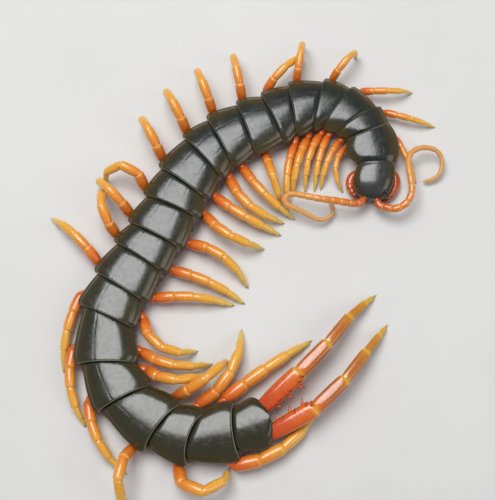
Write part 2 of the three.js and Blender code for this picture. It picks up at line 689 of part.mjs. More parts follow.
/** One length of an antenna: rings at the waist and the rim of each of its pieces, first to last. */
function antennaLength(sideName, side, firstPiece, lastPiece) {
  const route = antennaRoute(sideName, side);
  const length = route.getLength();
  const rings = [];
  for (let piece = firstPiece; piece < lastPiece; piece += 1) {
    const diameter = lerp(ANTENNA.root, ANTENNA.tip, piece / (ANTENNA.pieces - 1));
    const start = piece / ANTENNA.pieces + (piece === firstPiece && piece > 0 ? GAP / length : 0);
    const end = (piece + 1) / ANTENNA.pieces;
    const isTip = piece === ANTENNA.pieces - 1;
    const addRing = (at, wide) => {
      const axis = piece === 0 && at === 0 ? socket(side).axis : route.getTangentAt(at);
      rings.push(ringAcross(route.getPointAt(at), axis, (wide * diameter) / 2, ANTENNA.sides));
    };
    addRing(start, ANTENNA.waist);
    addRing(lerp(start, end, ANTENNA.rimAt), 1);
    if (isTip) {
      addRing(end, ANTENNA.endTaper);
    } else if (piece === lastPiece - 1) {
      addRing(end, ANTENNA.waist);
    }
  }
  return fuse([solid(loft(rings))]);
}

const centipede = new THREE.Group();
centipede.name = 'giant_centipede';

/** Adds a solid to the animal as a named mesh with a finish of its own. */
function addPart(name, body, color, roughness = 0.35) {
  const mesh = body.getMesh();
  const geometry = new THREE.BufferGeometry();
  geometry.setAttribute('position', new THREE.BufferAttribute(new Float32Array(mesh.vertProperties), 3));
  geometry.setIndex(new THREE.BufferAttribute(new Uint32Array(mesh.triVerts), 1));
  geometry.computeVertexNormals();
  const part = new THREE.Mesh(geometry, new THREE.MeshStandardMaterial({ color, roughness, metalness: 0 }));
  part.name = name;
  part.position.set(-ORIGIN.x, -ORIGIN.y, 0);
  centipede.add(part);
}

const twoDigits = (number) => String(number).padStart(2, '0');
const antennaSplit = Math.round(ANTENNA.pieces * ANTENNA.baseShare);

for (const [first, last] of TRUNK_LENGTHS) {
  addPart(`trunk_${twoDigits(first)}_${twoDigits(last)}`, trunkLength(first, last), SHELL_COLOUR);
}
addPart('head', head(), HEAD_COLOUR);
addPart('claw_plate', clawPlate(), PLATE_COLOUR);
for (const [sideName, side] of [['left', 1], ['right', -1]]) {
  addPart(`poison_claw_${sideName}`, poisonClaw(side), RED_COLOUR);
  addPart(`antenna_${sideName}_base`, antennaLength(sideName, side, 0, antennaSplit), ANTENNA_COLOUR);
  const antennaTip = antennaLength(sideName, side, antennaSplit, ANTENNA.pieces);
  addPart(`antenna_${sideName}_tip`, antennaTip, ANTENNA_COLOUR);
  for (let number = 1; number <= LEFT_POSES.length; number += 1) {
    addPart(`leg_${sideName}_${twoDigits(number)}`, walkingLeg(number, side), LEG_COLOUR);
  }
  addPart(`leg_${sideName}_21`, lastLeg(sideName, side), RED_COLOUR);
}

export default centipede;
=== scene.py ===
"""Giant centipede as a still museum model: the looks, in metres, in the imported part's own frame.

Sizes in the classes are millimetres. The trunk is a chain of 21 segments from the neck to the tail; plates,
skin, legs, head and feelers all take their place from that chain, by the same rules as the part's solids.
"""

import logging
import math
from dataclasses import dataclass, field
from enum import Enum

import bpy
import numpy as np
from mathutils import Matrix


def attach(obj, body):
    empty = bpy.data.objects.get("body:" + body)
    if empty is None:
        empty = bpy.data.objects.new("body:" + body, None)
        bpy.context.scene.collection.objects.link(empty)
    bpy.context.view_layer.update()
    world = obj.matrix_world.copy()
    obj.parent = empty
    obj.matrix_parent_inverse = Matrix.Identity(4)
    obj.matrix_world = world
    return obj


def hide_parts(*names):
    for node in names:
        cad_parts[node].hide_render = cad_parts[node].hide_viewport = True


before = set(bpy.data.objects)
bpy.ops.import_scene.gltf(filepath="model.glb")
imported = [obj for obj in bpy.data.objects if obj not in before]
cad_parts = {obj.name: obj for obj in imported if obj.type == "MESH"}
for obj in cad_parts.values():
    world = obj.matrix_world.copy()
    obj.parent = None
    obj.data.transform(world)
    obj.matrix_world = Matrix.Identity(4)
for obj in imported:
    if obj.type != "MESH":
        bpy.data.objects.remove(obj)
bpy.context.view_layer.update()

log = logging.getLogger("centipede")
Array = np.ndarray
Colour = tuple[float, float, float]
Rows = tuple[tuple[float, ...], ...]
Stops = tuple[tuple[float, Colour], ...]
Socket = bpy.types.NodeSocket
Material = bpy.types.Material

MM = 0.001
# Middle of the animal's outline in the frame that the chain is laid out in, mm.
ORIGIN = np.array([-0.22, -2.76, 0.0])
UP = np.array([0.0, 0.0, 1.0])


class Side(Enum):
    """Side of the animal: +1 is its left, the outer side of its bend."""

    LEFT = 1
    RIGHT = -1


# Curves and surfaces.


def flat_direction(degrees: Array | float) -> Array:
    """Unit vector in the floor's plane, `degrees` round from +X: (cos, sin, 0)."""
    angle = np.radians(np.asarray(degrees, float))
    return np.stack([np.cos(angle), np.sin(angle), np.zeros_like(angle)], axis=-1)


def rising_direction(heading: Array | float, rise: Array | float) -> Array:
    """Unit vector round by `heading` and up by `rise`: flat direction times cos(rise), and z = sin(rise)."""
    lift = np.radians(np.asarray(rise, float))[..., None]
    return flat_direction(heading) * np.cos(lift) + UP * np.sin(lift)


def unit(vectors: Array) -> Array:
    """Vectors divided by their own lengths along the last axis."""
    return vectors / (np.linalg.norm(vectors, axis=-1, keepdims=True) + 1e-12)


def circle(count: int) -> Array:
    """Angles of `count` places spaced evenly round a circle."""
    return np.linspace(0, 2 * np.pi, count, endpoint=False)


def growing(x: Array, start: float, width: float) -> Array:
    """Zero up to `start`, one past `start` + `width`, and even growth between them."""
    return np.clip((x - start) / width, 0, 1)


def squarer(wave: Array, power: float) -> Array:
    """Sine or cosine drawn towards a square wave: its sign times its size to a power below one."""
    return np.sign(wave) * np.abs(wave) ** power


def way_along(points: Array) -> Array:
    """How far each point of a line lies from its first point, measured along the line."""
    return np.concatenate([[0.0], np.cumsum(np.linalg.norm(np.diff(points, axis=0), axis=1))])


def smooth_curve(x: Array | float, knots: Array | list, values: Array | list) -> Array:
    """Cubic through knots: Hermite pieces whose slopes are the mean slopes of the chords beside each knot.

    Args:
        x: Places to read the curve at, held inside the knots' range.
        knots: Rising places of the given values.
        values: One number, or one point, for each knot.

    Returns:
        The curve's value at each x.
    """
    knots = np.asarray(knots, float)
    values = np.asarray(values, float)
    slopes = np.gradient(values, knots, axis=0)
    x = np.clip(np.asarray(x, float), knots[0], knots[-1])
    left = np.clip(np.searchsorted(knots, x, side="right") - 1, 0, len(knots) - 2)
    span = knots[left + 1] - knots[left]
    t = (x - knots[left]) / span
    if values.ndim > 1:
        t, span = t[..., None], span[..., None]
    start, end = values[left], values[left + 1]
    return (
        (1 + 2 * t) * (1 - t) ** 2 * start
        + t * (1 - t) ** 2 * span * slopes[left]
        + t**2 * (3 - 2 * t) * end
        + t**2 * (t - 1) * span * slopes[left + 1]
    )


def bell(x: Array, middle: float, width: float) -> Array:
    """Bell curve of height one: exp of minus the square of the distance from `middle` over `width`."""
    return np.exp(-(((x - middle) / width) ** 2))


@dataclass
class Surface:
    """Closed surface: points, quads and triangles, and one value a point for each named mask."""

    points: Array
    quads: Array
    triangles: Array
    masks: dict[str, Array]

    def volume(self) -> float:
        """Signed volume: a sixth of the sum of a . (b x c) over the surface's triangles."""
        quads = self.quads
        halves = [quads[:, [0, 1, 2]], quads[:, [0, 2, 3]], self.triangles]
        corners = self.points[np.concatenate(halves)]
        crossed = np.cross(corners[:, 1], corners[:, 2])
        return float(np.einsum("ij,ij->i", corners[:, 0], crossed).sum() / 6)

    def outward(self) -> "Surface":
        """The same surface with its faces turned outwards: all are reversed where the volume is below zero."""
        if self.volume() < 0:
            self.quads = self.quads[:, ::-1]
            self.triangles = self.triangles[:, ::-1]
        return self

    @staticmethod
    def joined(surfaces: list["Surface"]) -> "Surface":
        """One mesh of several surfaces side by side, each keeping its own points.

        Args:
            surfaces: Surfaces that carry the same masks.

        Returns:
            The surfaces as one.
        """
        starts = np.cumsum([0] + [len(s.points) for s in surfaces[:-1]])
        return Surface(
            np.concatenate([s.points for s in surfaces]),
            np.concatenate([s.quads + start for s, start in zip(surfaces, starts)]),
            np.concatenate([s.triangles + start for s, start in zip(surfaces, starts)]),
            {name: np.concatenate([s.masks[name] for s in surfaces]) for name in surfaces[0].masks},
        )


def grid_quads(rows: int, columns: int, wrap: bool) -> Array:
    """Quads between the points of a grid, row after row; with `wrap` the last column meets the first."""
    row = np.arange(rows - 1)[:, None]
    column = np.arange(columns if wrap else columns - 1)[None, :]
    beside = (column + 1) % columns
    near, far = row * columns, (row + 1) * columns
    corners = [near + column, near + beside, far + beside, far + column]
    return np.stack(np.broadcast_arrays(*corners), axis=-1).reshape(-1, 4)


def closed_tube(rings: Array, masks: dict[str, Array]) -> Surface:
    """Tube through rings of points, closed at each end by a fan round the middle of its last ring.

    Args:
        rings: Points, (rings, points in a ring, 3).
        masks: For each mask, a value for each ring point, or one for each ring.

    Returns:
        The closed surface.
    """
    count, around, _ = rings.shape
    points = np.concatenate([rings.reshape(-1, 3), rings[0].mean(0)[None], rings[-1].mean(0)[None]])
    here = np.arange(around)
    beside = (here + 1) % around
    start, end = count * around, count * around + 1
    last = (count - 1) * around
    first_fan = np.stack([np.full(around, start), beside, here], axis=1)
    last_fan = np.stack([np.full(around, end), last + here, last + beside], axis=1)
    spread = {}
    for name, values in masks.items():
        values = np.asarray(values, float)
        full = np.broadcast_to(values[:, None] if values.ndim == 1 else values, (count, around))
        spread[name] = np.concatenate([full.ravel(), [full[0].mean(), full[-1].mean()]])
    quads = grid_quads(count, around, wrap=True)
    return Surface(points, quads, np.concatenate([first_fan, last_fan]), spread).outward()


def closed_slab(top: Array, bottom: Array, masks: dict[str, Array]) -> Surface:
    """Thin shell between an upper and a lower grid of points, closed by a strip round its four edges.

    Args:
        top: Upper grid, (rows, columns, 3).
        bottom: Lower grid of the same shape.
        masks: For each mask, a grid of values that both sides share.

    Returns:
        The closed surface.
    """
    rows, columns, _ = top.shape
    number = np.arange(rows * columns).reshape(rows, columns)
    edge = np.concatenate([number[0, :-1], number[:-1, -1], number[-1, :0:-1], number[:0:-1, 0]])
    beside = np.roll(edge, -1)
    upper = grid_quads(rows, columns, wrap=False)
    lower = upper[:, ::-1] + rows * columns
    strip = np.stack([beside, edge, edge + rows * columns, beside + rows * columns], axis=1)
    points = np.concatenate([top.reshape(-1, 3), bottom.reshape(-1, 3)])
    spread = {name: np.tile(np.asarray(values, float).ravel(), 2) for name, values in masks.items()}
    quads = np.concatenate([upper, lower, strip])
    return Surface(points, quads, np.zeros((0, 3), int), spread).outward()


def swept(centres: Array, side_hint: Array, radii: Array, sides: int, masks: dict[str, Array]) -> Surface:
    """Round tube along a path: each ring lies across the path's own direction there.

    A ring's points are the centre plus radius times (side cos a + up sin a), with `up` = direction x side.

    Args:
        centres: Points of the path, (n, 3).
        side_hint: Roughly sideways direction, one for all points or one for each.
        radii: Radius at each point, or at each point and angle, (n,) or (n, sides).
        sides: Points in a ring.
        masks: A value for each ring, or for each ring point.

    Returns:
        The closed tube.
    """
    along = unit(np.gradient(centres, axis=0))
    up = unit(np.cross(along, side_hint))
    side = np.cross(up, along)
    angle = circle(sides)
    radii = np.asarray(radii, float)
    reach = np.broadcast_to(radii[:, None] if radii.ndim == 1 else radii, (len(centres), sides))[..., None]
    ring = side[:, None] * np.cos(angle)[:, None] + up[:, None] * np.sin(angle)[:, None]
    return closed_tube(centres[:, None] + ring * reach, masks)


def ball(centre: Array, radius: float, fineness: int = 10) -> Surface:
    """Sphere in rings from its lower pole to its upper one; a ring at rise b has the radius times cos b."""
    lift = np.linspace(-90, 90, fineness + 1)[1:-1]
    rings = centre + radius * rising_direction(np.degrees(circle(2 * fineness))[None, :], lift[:, None])
    surface = closed_tube(rings, {})
    surface.points[-2:] = centre + radius * UP * [[-1.0], [1.0]]
    return surface


def horn(start: Array, direction: Array, bend: Array, length: float, base: float, sides: int = 7) -> Surface:
    """Pointed curved spine: its middle line runs along `direction` and leaves it by `bend` times t squared.

    Args:
        start: Middle of its root.
        direction: Unit vector along which it leaves.
        bend: How far its point has left that line.
        length: Length along the direction.
        base: Diameter at its root.
        sides: Points in a ring.

    Returns:
        The closed spine, with the mask `along` from root to point.
    """
    t = np.array([0.0, 0.15, 0.35, 0.6, 0.8, 0.93, 1.0])
    centres = start + direction * length * t[:, None] + np.asarray(bend) * (t**2)[:, None]
    radii = base / 2 * (1 - t**1.3 * 0.93)
    hint = np.cross(UP, direction)
    hint = hint if np.linalg.norm(hint) > 0.1 else np.array([1.0, 0.0, 0.0])
    return swept(centres, unit(hint), radii, sides, {"along": t})


def show(
    name: str, surfaces: list[Surface], material: Material, nodes: list[str], sharp: float = 50.0
) -> None:
    """Puts surfaces into Blender as one piece at the origin that rides on the body.

    Args:
        name: Piece's name.
        surfaces: Surfaces in millimetres, in the layout frame.
        material: Finish of the piece.
        nodes: Nodes of the part that the piece stands for.
        sharp: Angle in degrees past which an edge stays sharp.
    """
    whole = Surface.joined(surfaces)
    loops = np.concatenate([whole.quads.ravel(), whole.triangles.ravel()])
    totals = np.concatenate([np.full(len(whole.quads), 4), np.full(len(whole.triangles), 3)])
    mesh = bpy.data.meshes.new(name)
    mesh.vertices.add(len(whole.points))
    mesh.vertices.foreach_set("co", ((whole.points - ORIGIN) * MM).astype(np.float32).ravel())
    mesh.loops.add(len(loops))
    mesh.loops.foreach_set("vertex_index", loops.astype(np.int32))
    mesh.polygons.add(len(totals))
    mesh.polygons.foreach_set("loop_start", (np.cumsum(totals) - totals).astype(np.int32))
    mesh.polygons.foreach_set("loop_total", totals.astype(np.int32))
    mesh.polygons.foreach_set("use_smooth", np.ones(len(totals), bool))
    for mask, values in whole.masks.items():
        mesh.attributes.new(mask, "FLOAT", "POINT").data.foreach_set("value", values.astype(np.float32))
    mesh.update()
    mesh.validate()
    mesh.set_sharp_from_angle(angle=math.radians(sharp))
    mesh.materials.append(material)
    piece = bpy.data.objects.new(name, mesh)
    bpy.context.scene.collection.objects.link(piece)
    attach(piece, "root")
    if nodes:
        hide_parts(*nodes)
    log.info("%s: %d points, %d faces", name, len(whole.points), len(totals))


# Finishes.


class Shader:
    """Node tree of one material, with a short way to add each kind of node."""

    def __init__(self, name: str) -> None:
        """Starts a material with only a shader and an output."""
        self.material = bpy.data.materials.new(name)
        self.material.use_nodes = True
        self.tree = self.material.node_tree
        self.tree.nodes.clear()
        output = self.tree.nodes.new("ShaderNodeOutputMaterial")
        self.surface = self.tree.nodes.new("ShaderNodeBsdfPrincipled")
        self.tree.links.new(self.surface.outputs["BSDF"], output.inputs["Surface"])
        self.place = self.tree.nodes.new("ShaderNodeTexCoord").outputs["Object"]

    def put(self, socket: Socket, value: object) -> None:
        """Links an output into a socket, or sets the socket to a plain value; a colour gets full cover."""
        if isinstance(value, Socket):
            self.tree.links.new(value, socket)
        else:
            socket.default_value = (*value, 1.0) if socket.type == "RGBA" else value

    def add(self, kind: str, output: int | str, inputs: dict[int | str, object], **settings: object) -> Socket:
        """Adds a node of a kind, fills its inputs by name or number, and gives one of its outputs."""
        node = self.tree.nodes.new(f"ShaderNode{kind}")
        for name, value in settings.items():
            setattr(node, name, value)
        for key, value in inputs.items():
            self.put(node.inputs[key], value)
        return node.outputs[output]

    def set(self, name: str, value: object) -> None:
        """Sets or links one socket of the shader."""
        self.put(self.surface.inputs[name], value)

    def dress(self, colour: Socket, roughness: Socket, bumps: Socket, *coat: object) -> None:
        """Sets the surface's colour, roughness and bumps, and the clear coat's weight and roughness."""
        names = ("Base Color", "Roughness", "Normal", "Coat Weight", "Coat Roughness")
        for name, value in zip(names, (colour, roughness, bumps, *coat)):
            self.set(name, value)

    def mask(self, name: str) -> Socket:
        """Value of a mask of the mesh."""
        return self.add("Attribute", "Fac", {}, attribute_name=name)

    def noise(self, scale: float, detail: float = 4.0, roughness: float = 0.55) -> Socket:
        """Cloudy noise on the object's own coordinates; `scale` counts lumps to the metre."""
        inputs = {"Vector": self.place, "Scale": scale, "Detail": detail, "Roughness": roughness}
        return self.add("TexNoise", "Fac", inputs)

    def cells(self, scale: float) -> Socket:
        """Distance to the nearest of many scattered points; `scale` counts points to the metre."""
        return self.add("TexVoronoi", "Distance", {"Vector": self.place, "Scale": scale})

    def calc(self, operation: str, *values: object) -> Socket:
        """Arithmetic on two values."""
        return self.add("Math", "Value", dict(enumerate(values)), operation=operation)

    def stirred(self, value: object, clouds: object, share: float) -> Socket:
        """Value moved up and down by clouds: plus (clouds - 0.5) times `share`."""
        return self.calc("ADD", value, self.calc("MULTIPLY", self.calc("SUBTRACT", clouds, 0.5), share))

    def spread(self, value: object, low: float, high: float, at_low: float = 0, at_high: float = 1) -> Socket:
        """Value from the range low..high brought to at_low..at_high by a smooth step, and held there."""
        inputs = dict(enumerate((value, low, high, at_low, at_high)))
        return self.add("MapRange", "Result", inputs, interpolation_type="SMOOTHSTEP")

    def blend(self, share: object, first: object, second: object) -> Socket:
        """Mix of two colours."""
        return self.add("Mix", 2, {0: share, 6: first, 7: second}, data_type="RGBA")

    def bump(self, height: object, strength: float, depth: float, under: object = None) -> Socket:
        """Bumps `depth` metres high, on top of other bumps where `under` is given."""
        inputs = {"Strength": strength, "Distance": depth, "Height": height}
        return self.add("Bump", "Normal", inputs if under is None else {**inputs, "Normal": under})

    def ramp(self, value: object, stops: Stops) -> Socket:
        """Colour read off a row of stops."""
        node = self.tree.nodes.new("ShaderNodeValToRGB")
        node.color_ramp.interpolation = "B_SPLINE" if len(stops) > 4 else "EASE"
        elements = node.color_ramp.elements
        while len(elements) < len(stops):
            elements.new(0.5)
        for element, (at, colour) in zip(elements, stops):
            element.position = at
            element.color = (*colour, 1.0)
        self.put(node.inputs["Fac"], value)
        return node.outputs["Color"]


@dataclass(frozen=True)
class PlateFinish:
    """Glossy horn of the back plates: dark along the middle, browner flanks, and pale rims and rear edge that
    are painted highlights over slightly paler horn.
    """

    name: str = "back_plate_horn"
    middle: Colour = (0.008, 0.012, 0.010)
    cloud: Colour = (0.017, 0.020, 0.012)
    flank: Colour = (0.066, 0.043, 0.006)
    olive: Colour = (0.027, 0.023, 0.006)
    # rim and edge: painted highlights, pale lines where the plate's margins catch the light, over slightly
    # paler horn.
    rim: Colour = (0.13, 0.11, 0.06)
    edge: Colour = (0.16, 0.15, 0.11)
    roughness: float = 0.21

    def build(self) -> Material:
        """Makes the material from the masks `across`, `lengthwise` and `tone`."""
        s = Shader(self.name)
        across, lengthwise, tone = s.mask("across"), s.mask("lengthwise"), s.mask("tone")
        clouds = s.noise(260.0, 5.0)
        body = s.blend(s.spread(clouds, 0.35, 0.7), self.middle, self.cloud)
        body = s.blend(s.spread(s.stirred(across, clouds, 0.35), 0.4, 1.0, 0.0, 0.9), body, self.flank)
        body = s.blend(s.spread(tone, 0.0, 1.0, 0.0, 0.7), body, self.olive)
        # Painted highlight: a pale line along the rear edge, on slightly paler horn.
        body = s.blend(s.spread(lengthwise, 0.975, 0.995, 0.0, 0.8), body, self.edge)
        # Painted highlight: pale lines along the side rims, on slightly paler horn.
        body = s.blend(s.spread(across, 0.97, 0.99, 0.0, 0.45), body, self.rim)
        roughness = s.calc("ADD", s.spread(s.noise(900.0, 3.0), 0.3, 0.7, -0.05, 0.08), self.roughness)
        waves = s.bump(s.noise(420.0, 3.0), 0.25, 0.00022)
        grain = s.bump(s.noise(5200.0, 2.0), 0.18, 0.00003, waves)
        pits = s.spread(s.cells(2600.0), 0.0, 0.22)
        s.dress(body, roughness, s.bump(pits, 0.12, 0.00002, grain), 0.4, 0.14)
        return s.material


@dataclass(frozen=True)
class SkinFinish:
    """Wrinkled purple-grey skin between the plates."""

    name: str = "flank_skin"
    light: Colour = (0.10, 0.075, 0.09)
    dark: Colour = (0.03, 0.02, 0.026)
    low: Colour = (0.30, 0.15, 0.06)
    roughness: float = 0.42

    def build(self) -> Material:
        """Makes the material from the mask `low`, which is one at the belly."""
        s = Shader(self.name)
        folds = s.noise(1500.0, 6.0, 0.65)
        skin = s.blend(s.spread(folds, 0.35, 0.65), self.dark, self.light)
        body = s.blend(s.spread(s.mask("low"), 0.25, 0.9, 0.0, 0.9), skin, self.low)
        roughness = s.spread(folds, 0.3, 0.7, self.roughness + 0.1, self.roughness - 0.08)
        bumps = s.bump(s.cells(3200.0), 0.35, 0.00012, s.bump(folds, 0.7, 0.0003))
        s.dress(body, roughness, bumps, 0.2, 0.2)
        return s.material


@dataclass(frozen=True)
class LegFinish:
    """Glossy leg: colour along it from root to foot, pale rings at its joints."""

    name: str
    stops: Stops
    ring: Colour
    ring_share: float = 0.4
    roughness: float = 0.24
    deep: Colour = (0.30, 0.035, 0.004)

    def build(self) -> Material:
        """Makes the material from the masks `along` and `joint`."""
        s = Shader(self.name)
        clouds = s.noise(700.0, 4.0)
        body = s.ramp(s.stirred(s.mask("along"), clouds, 0.16), self.stops)
        patches = s.spread(s.noise(1800.0, 5.0), 0.5, 0.78, 0.0, 0.7)
        body = s.blend(patches, body, s.blend(0.35, body, self.deep))
        body = s.blend(s.calc("MULTIPLY", s.mask("joint"), self.ring_share), body, self.ring)
        roughness = s.spread(s.noise(1500.0, 3.0), 0.3, 0.7, self.roughness - 0.05, self.roughness + 0.12)
        fine = s.bump(s.noise(2400.0, 4.0), 0.25, 0.00008)
        s.dress(body, roughness, s.bump(s.spread(s.cells(3800.0), 0.0, 0.2), 0.15, 0.00002, fine), 0.7, 0.06)
        s.set("Subsurface Weight", 0.05)
        s.set("Subsurface Radius", (1.0, 0.4, 0.1))
        s.set("Subsurface Scale", 0.0006)
        return s.material


@dataclass(frozen=True)
class HornFinish:
    """Hard dark points: claws, teeth and spines, with a warmer root."""

    name: str
    root: Colour
    point: Colour = (0.012, 0.007, 0.005)
    turn: tuple[float, float] = (0.2, 0.75)
    roughness: float = 0.2

    def build(self) -> Material:
        """Makes the material from the mask `along`, from root to point."""
        s = Shader(self.name)
        along = s.stirred(s.mask("along"), s.noise(1600.0), 0.2)
        body = s.blend(s.spread(along, *self.turn), self.root, self.point)
        roughness = s.spread(s.noise(2600.0, 2.0), 0.3, 0.7, self.roughness, self.roughness + 0.12)
        s.dress(body, roughness, s.bump(s.noise(3500.0, 3.0), 0.2, 0.00004), 0.4, 0.08)
        return s.material


@dataclass(frozen=True)
class EyeFinish:
    """Black glassy eyes."""

    name: str = "eye_black"
    colour: Colour = (0.006, 0.005, 0.006)
    rim: Colour = (0.03, 0.018, 0.012)

    def build(self) -> Material:
        """Makes the material."""
        s = Shader(self.name)
        clouds = s.noise(2500.0)
        body = s.blend(s.spread(clouds, 0.45, 0.75), self.colour, self.rim)
        roughness = s.spread(clouds, 0.3, 0.7, 0.08, 0.16)
        s.dress(body, roughness, s.bump(s.noise(6000.0, 2.0), 0.08, 0.00002), 0.8, 0.05)
        return s.material


@dataclass(frozen=True)
class FeelerFinish:
    """Feelers: bare glossy orange articles at the root, then short dull down on tan ones."""

    name: str = "feeler_shell"
    stops: Stops = (
        (0.0, (0.55, 0.09, 0.007)), (0.18, (0.72, 0.20, 0.014)),
        (0.4, (0.72, 0.28, 0.035)), (1.0, (0.62, 0.33, 0.10)),
    )
    ring: Colour = (0.72, 0.42, 0.16)

    def build(self) -> Material:
        """Makes the material from the masks `along` and `joint`."""
        s = Shader(self.name)
        along = s.mask("along")
        clouds = s.noise(900.0, 4.0)
        body = s.ramp(s.stirred(along, clouds, 0.1), self.stops)
        body = s.blend(s.calc("MULTIPLY", s.mask("joint"), 0.45), body, self.ring)
        down = s.spread(along, 0.3, 0.5)
        roughness = s.calc("ADD", s.calc("MULTIPLY", down, 0.22), s.spread(clouds, 0.3, 0.7, 0.22, 0.34))
        hairs = s.calc("MULTIPLY", s.noise(9000.0, 2.0), s.calc("ADD", 0.15, down))
        s.dress(body, roughness, s.bump(hairs, 0.4, 0.00007), s.spread(along, 0.3, 0.5, 0.8, 0.1), 0.07)
        s.set("Sheen Weight", s.spread(along, 0.2, 0.36, 0.0, 0.3))
        return s.material


# Layout of the trunk.


@dataclass(frozen=True)
class Chain:
    """Chain of body segments: plate lengths, widths and directions towards the tail, in degrees."""

    neck: tuple[float, float] = (27.8, 18.0)
    head_heading: float = 80.0
    lengths: tuple[float, ...] = (
        6.6, 3.8, 5.2, 4.2, 5.8, 4.8, 6.2, 6.4, 5.2, 7.1, 5.8, 7.1, 5.8, 7.4, 6.7, 9.7, 8.3, 9.5, 6.8,
        8.6, 6.9,
    )
    widths: tuple[float, ...] = (
        10.4, 11.4, 12.0, 12.5, 13.0, 13.4, 13.8, 14.0, 14.0, 14.0, 14.0, 14.0, 14.0, 14.0, 13.8, 13.6, 13.0,
        13.0, 12.4, 12.4, 10.8,
    )
    headings: tuple[float, ...] = (
        102, 123, 145, 168, 189, 205, 200, 208, 222, 234, 245, 242, 237, 238, 246, 271, 297, 323, 341,
        367, 378,
    )
    turn_share: float = 0.85
    belly: float = 0.9
    rim: float = 4.3
    crown: float = 6.5
    end_sink: float = 0.7

    def starts(self) -> Array:
        """Middle of each plate's front edge on the floor: the running sum of length times direction."""
        steps = flat_direction(np.array(self.headings, float)) * np.array(self.lengths)[:, None]
        return np.concatenate([np.zeros((1, 3)), np.cumsum(steps, axis=0)]) + np.array([*self.neck, 0.0])

    def place(self, number: int, at: Array | float) -> tuple[Array, Array, Array]:
        """Place at a share `at` of segment `number`.

        The heading goes evenly from the plate before to this plate's over the first part of its length.

        Returns:
            Point on the floor, tailward direction and leftward direction.
        """
        at = np.asarray(at, float)
        starts, own = self.starts(), self.headings[number - 1]
        before = self.headings[number - 2] if number > 1 else (self.head_heading + own) / 2
        heading = before + (own - before) * np.clip(at / self.turn_share, 0, 1)
        point = starts[number - 1] + (starts[number] - starts[number - 1]) * at[..., None]
        tailward = flat_direction(heading)
        return point, tailward, np.cross(tailward, UP)

    def sink(self, number: Array | float) -> Array:
        """How far the back has sunk at a segment: more and more before the third and past the seventeenth."""
        number = np.asarray(number, float)
        return self.end_sink * (growing(number, 17, 4) + growing(-number, -3, 2))


CHAIN = Chain()
SEGMENTS = len(CHAIN.lengths)
TRUNK_NODES = [f"trunk_{a:02d}_{a + 1:02d}" for a in range(1, 18, 2)] + ["trunk_19_21"]


# Trunk.


